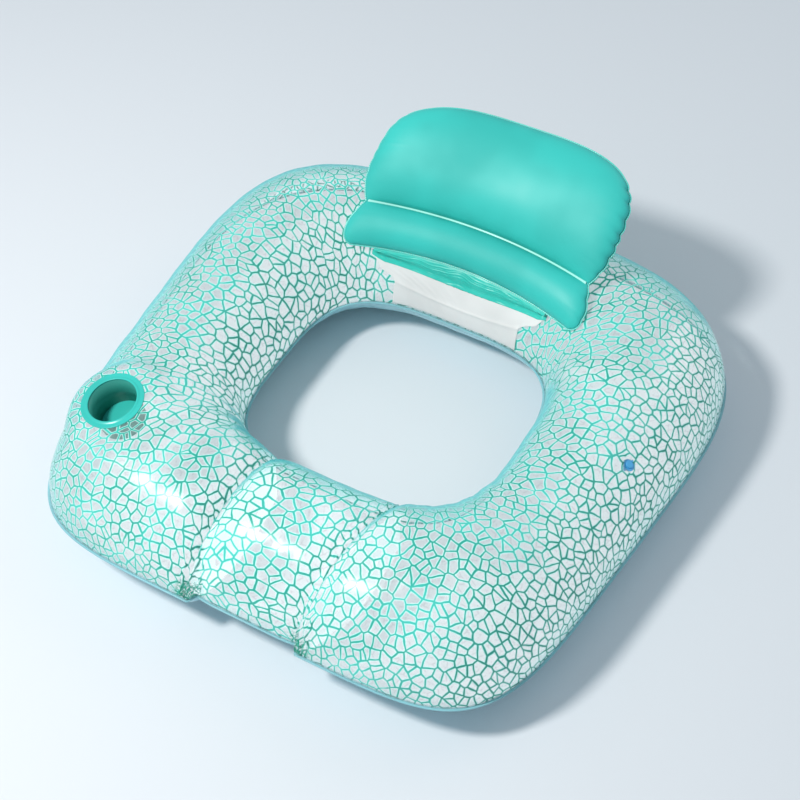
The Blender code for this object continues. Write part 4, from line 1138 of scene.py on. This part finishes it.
def backrest_puckers(side, row, height, depth, seed):
    """Scallops from a chamber's side edges and, weaker, from the edges that run across."""
    from_side = (1 - np.abs(side)) * PILLOW_HALF_WIDTH
    sides = edge_puckers(from_side, row * height + 0.4 * (side > 0), seed, depth, 0.016)
    run = side * PILLOW_HALF_WIDTH
    ends = edge_puckers((1 - row) * height, run + 0.9, seed + 1, depth * 0.45, 0.010)
    ends = ends + edge_puckers(row * height, run + 1.7, seed + 2, depth * 0.40, 0.009)
    return sides * np.clip(4 * row * (1 - row), 0, 1) + ends * np.clip(from_side / 0.03, 0, 1)


def backrest_edge_weld(side, roll_rows, pillow_rows):
    """The light flange round both chambers."""
    right, left = (
        np.concatenate([
            backrest_points(end, roll_rows[::-1], "roll", 0.0)[:-1],
            backrest_points(end, pillow_rows, "pillow", 0.0)[:-1],
        ])
        for end in (1.0, -1.0)
    )
    bottom, top = (backrest_points(side, np.ones(len(side)), chamber, 0.0) for chamber in ("roll", "pillow"))
    loop = resampled_loop(np.concatenate([right, top[::-1][:-1], left[::-1], bottom[1:-1]]), 900)
    ahead = np.roll(loop, -1, axis=0) - np.roll(loop, 1, axis=0)
    ahead /= np.linalg.norm(ahead, axis=1)[:, None]
    away = np.cross(ahead, BACKREST_FRONT)
    if ((loop - loop.mean(axis=0)) * away).sum() < 0:
        away = -away
    welded_band(
        "backrest_edge_weld", "backrest_edge_seam", loop + away * (2 * CLEARANCE + EDGE_WELD_WIDTH / 2),
        BACKREST_FRONT, EDGE_WELD_WIDTH, "flange", "backrest",
    )


def backrest_divider_weld():
    """The pressed strip in the valley between the roll and the pillow."""
    columns = 201
    inner = np.linspace(-0.985, 0.985, columns)
    low, high = (backrest_points(inner, np.zeros(columns), chamber, 0.0) for chamber in ("roll", "pillow"))
    seat = CLEARANCE / 2 + FILM_THICKNESS + CLEARANCE
    crown = ((-0.20, 0.0010), (0.05, 0.0017), (0.5, 0.0020), (0.95, 0.0017), (1.20, 0.0010))
    strip = np.stack(
        [low + (high - low) * share + BACKREST_FRONT * (seat + height) for share, height in crown], axis=1
    )
    mesh = grid_mesh("backrest_divider_strip", strip)
    # The strip's pale finish is partly a painted highlight.
    new_film(mesh, ("divider",), "backrest_divider_weld", "backrest", thickness=0.0005)


class LOUNGER_OT_backrest(bpy.types.Operator):
    """Adds the backrest's two films, its edge weld and its divider weld"""

    bl_idname = "lounger.backrest"
    bl_label = "Backrest"

    def execute(self, context):
        columns = 241
        spread = math.pi / 2 * 0.86
        side = np.sin(np.linspace(-1, 1, columns) * spread) / math.sin(spread)
        roll_rows, pillow_rows = end_crowded(49, 0.75), end_crowded(101, 0.75)
        chambers = (
            ("roll", roll_rows[::-1, None], 0.085, 0.0016, 61),
            ("pillow", pillow_rows[:, None], PILLOW_HEIGHT, 0.0022, 71),
        )
        for face, way, bulges in (
            ("front", 1.0, (ROLL_FRONT_BULGE, PILLOW_FRONT_BULGE)),
            ("rear", -1.0, (-ROLL_REAR_BULGE, -PILLOW_REAR_BULGE)),
        ):
            skins = []
            for (chamber, row, height, depth, seed), bulge in zip(chambers, bulges):
                pucker = backrest_puckers(side, row, height, depth, seed)
                skin = backrest_points(side, row, chamber, bulge, way * CLEARANCE / 2)
                skins.append(skin + BACKREST_FRONT * (way * pucker)[..., None])
            mesh = grid_mesh(f"backrest_{face}_film", np.concatenate(skins), flip=way > 0)
            if way < 0:
                remove_round_hole(mesh, *valve_place("backrest"), VALVE_HOLE_RADIUS)
            piece = new_film(mesh, ("backrest",), f"backrest_{face}_sheet", "backrest")
        backrest_edge_weld(side, roll_rows, pillow_rows)
        backrest_divider_weld()
        return {"FINISHED"}


def resampled_loop(points, count):
    """A closed path with its points evenly spaced."""
    closed = np.vstack([points, points[:1]])
    run = np.concatenate([[0], np.cumsum(np.linalg.norm(np.diff(closed, axis=0), axis=1))])
    places = np.linspace(0, run[-1], count, endpoint=False)
    return np.stack([np.interp(places, run, closed[:, k]) for k in range(3)], axis=1)


class LOUNGER_OT_valves(bpy.types.Operator):
    """Finishes the two valves"""

    bl_idname = "lounger.valves"
    bl_label = "Valves"

    def execute(self, context):
        for prefix in ("ring_valve", "backrest_valve"):
            for part in ("flange", "stem", "plug", "tether", "check_flap"):
                refinish(f"{prefix}_{part}", materials()["valve"])
        return {"FINISHED"}


class LOUNGER_OT_stage(bpy.types.Operator):
    """Adds the floor, the lamps, the world and the camera"""

    bl_idname = "lounger.stage"
    bl_label = "Stage"

    def execute(self, context):
        scene = context.scene
        settings = scene.lounger_stage
        scene.view_settings.view_transform = "Standard"
        turn, rise = settings.camera_azimuth, settings.camera_elevation
        back = Vector((math.sin(turn) * math.cos(rise), -math.cos(turn) * math.cos(rise), math.sin(rise)))
        right = Vector((math.cos(turn), math.sin(turn), 0.0))
        data = bpy.data.cameras.new("studio camera")
        data.sensor_width = SENSOR_WIDTH
        data.lens = LENS
        data.shift_x = 0.5 - RING_PIXEL[0] / PICTURE_WIDTH
        data.shift_y = RING_PIXEL[1] / PICTURE_WIDTH - 0.5
        turned = Matrix((right, back.cross(right), back)).transposed().to_4x4()
        scene.camera = bpy.data.objects.new("studio camera", data)
        scene.camera.matrix_world = Matrix.Translation(back * settings.camera_distance) @ turned
        scene.collection.objects.link(scene.camera)

        ends = (-FLOOR_REACH, FLOOR_REACH)
        corners = np.array([[(x, y, FLOOR_HEIGHT) for x in ends] for y in ends])
        mesh = grid_mesh("studio_floor", corners, flip=True)
        material, add = new_material("pale matt studio floor")
        paint = add("BsdfPrincipled", {"Base Color": settings.floor_colour, "Roughness": 0.9})
        add("OutputMaterial", (paint,))
        new_piece(mesh, [material], smooth=False)

        for name, place, size, energy in (
            ("key softbox", (-1.45, -1.95, 3.45), 0.6, 132.0),
            ("rear softbox", (1.6, 3.0, 3.0), 3.0, 20.0),
        ):
            lamp = bpy.data.lights.new(name, "AREA")
            lamp.shape = "DISK"
            lamp.size = size
            lamp.energy = energy
            lamp.color = linear("FFFBF7")
            holder = bpy.data.objects.new(name, lamp)
            holder.matrix_world = aimed(Vector(place), Vector(place))
            scene.collection.objects.link(holder)
        scene.world = bpy.data.worlds.new("studio world")
        scene.world.use_nodes = True
        sky = scene.world.node_tree.nodes["Background"].inputs
        sky["Color"].default_value = (*linear("E2F0FA"), 1.0)
        sky["Strength"].default_value = 0.50
        return {"FINISHED"}


OPERATORS = (
    LOUNGER_OT_stage,
    LOUNGER_OT_ring_films,
    LOUNGER_OT_ring_seams,
    LOUNGER_OT_cup_holder,
    LOUNGER_OT_rear_panel,
    LOUNGER_OT_backrest,
    LOUNGER_OT_hinge_flap,
    LOUNGER_OT_valves,
)


class LOUNGER_PT_panel(bpy.types.Panel):
    """Lists the lounger's pieces in the sidebar"""

    bl_idname = "LOUNGER_PT_panel"
    bl_label = "Pool Lounger"
    bl_space_type = "VIEW_3D"
    bl_region_type = "UI"
    bl_category = "Lounger"

    def draw(self, context):
        for operator in OPERATORS:
            self.layout.operator(operator.bl_idname)


SETTINGS = {
    "lounger_ring": RingSettings,
    "lounger_print": PrintSettings,
    "lounger_film": FilmSettings,
    "lounger_stage": StageSettings,
}


def register():
    for cls in (*SETTINGS.values(), *OPERATORS, LOUNGER_PT_panel):
        bpy.utils.register_class(cls)
    for name, cls in SETTINGS.items():
        setattr(bpy.types.Scene, name, PointerProperty(type=cls))


def unregister():
    for name in SETTINGS:
        delattr(bpy.types.Scene, name)
    for cls in (LOUNGER_PT_panel, *reversed(OPERATORS), *reversed(SETTINGS.values())):
        bpy.utils.unregister_class(cls)


def main():
    register()
    for operator in OPERATORS:
        group, name = operator.bl_idname.split(".")
        getattr(getattr(bpy.ops, group), name)()


if __name__ == "__main__":
    main()
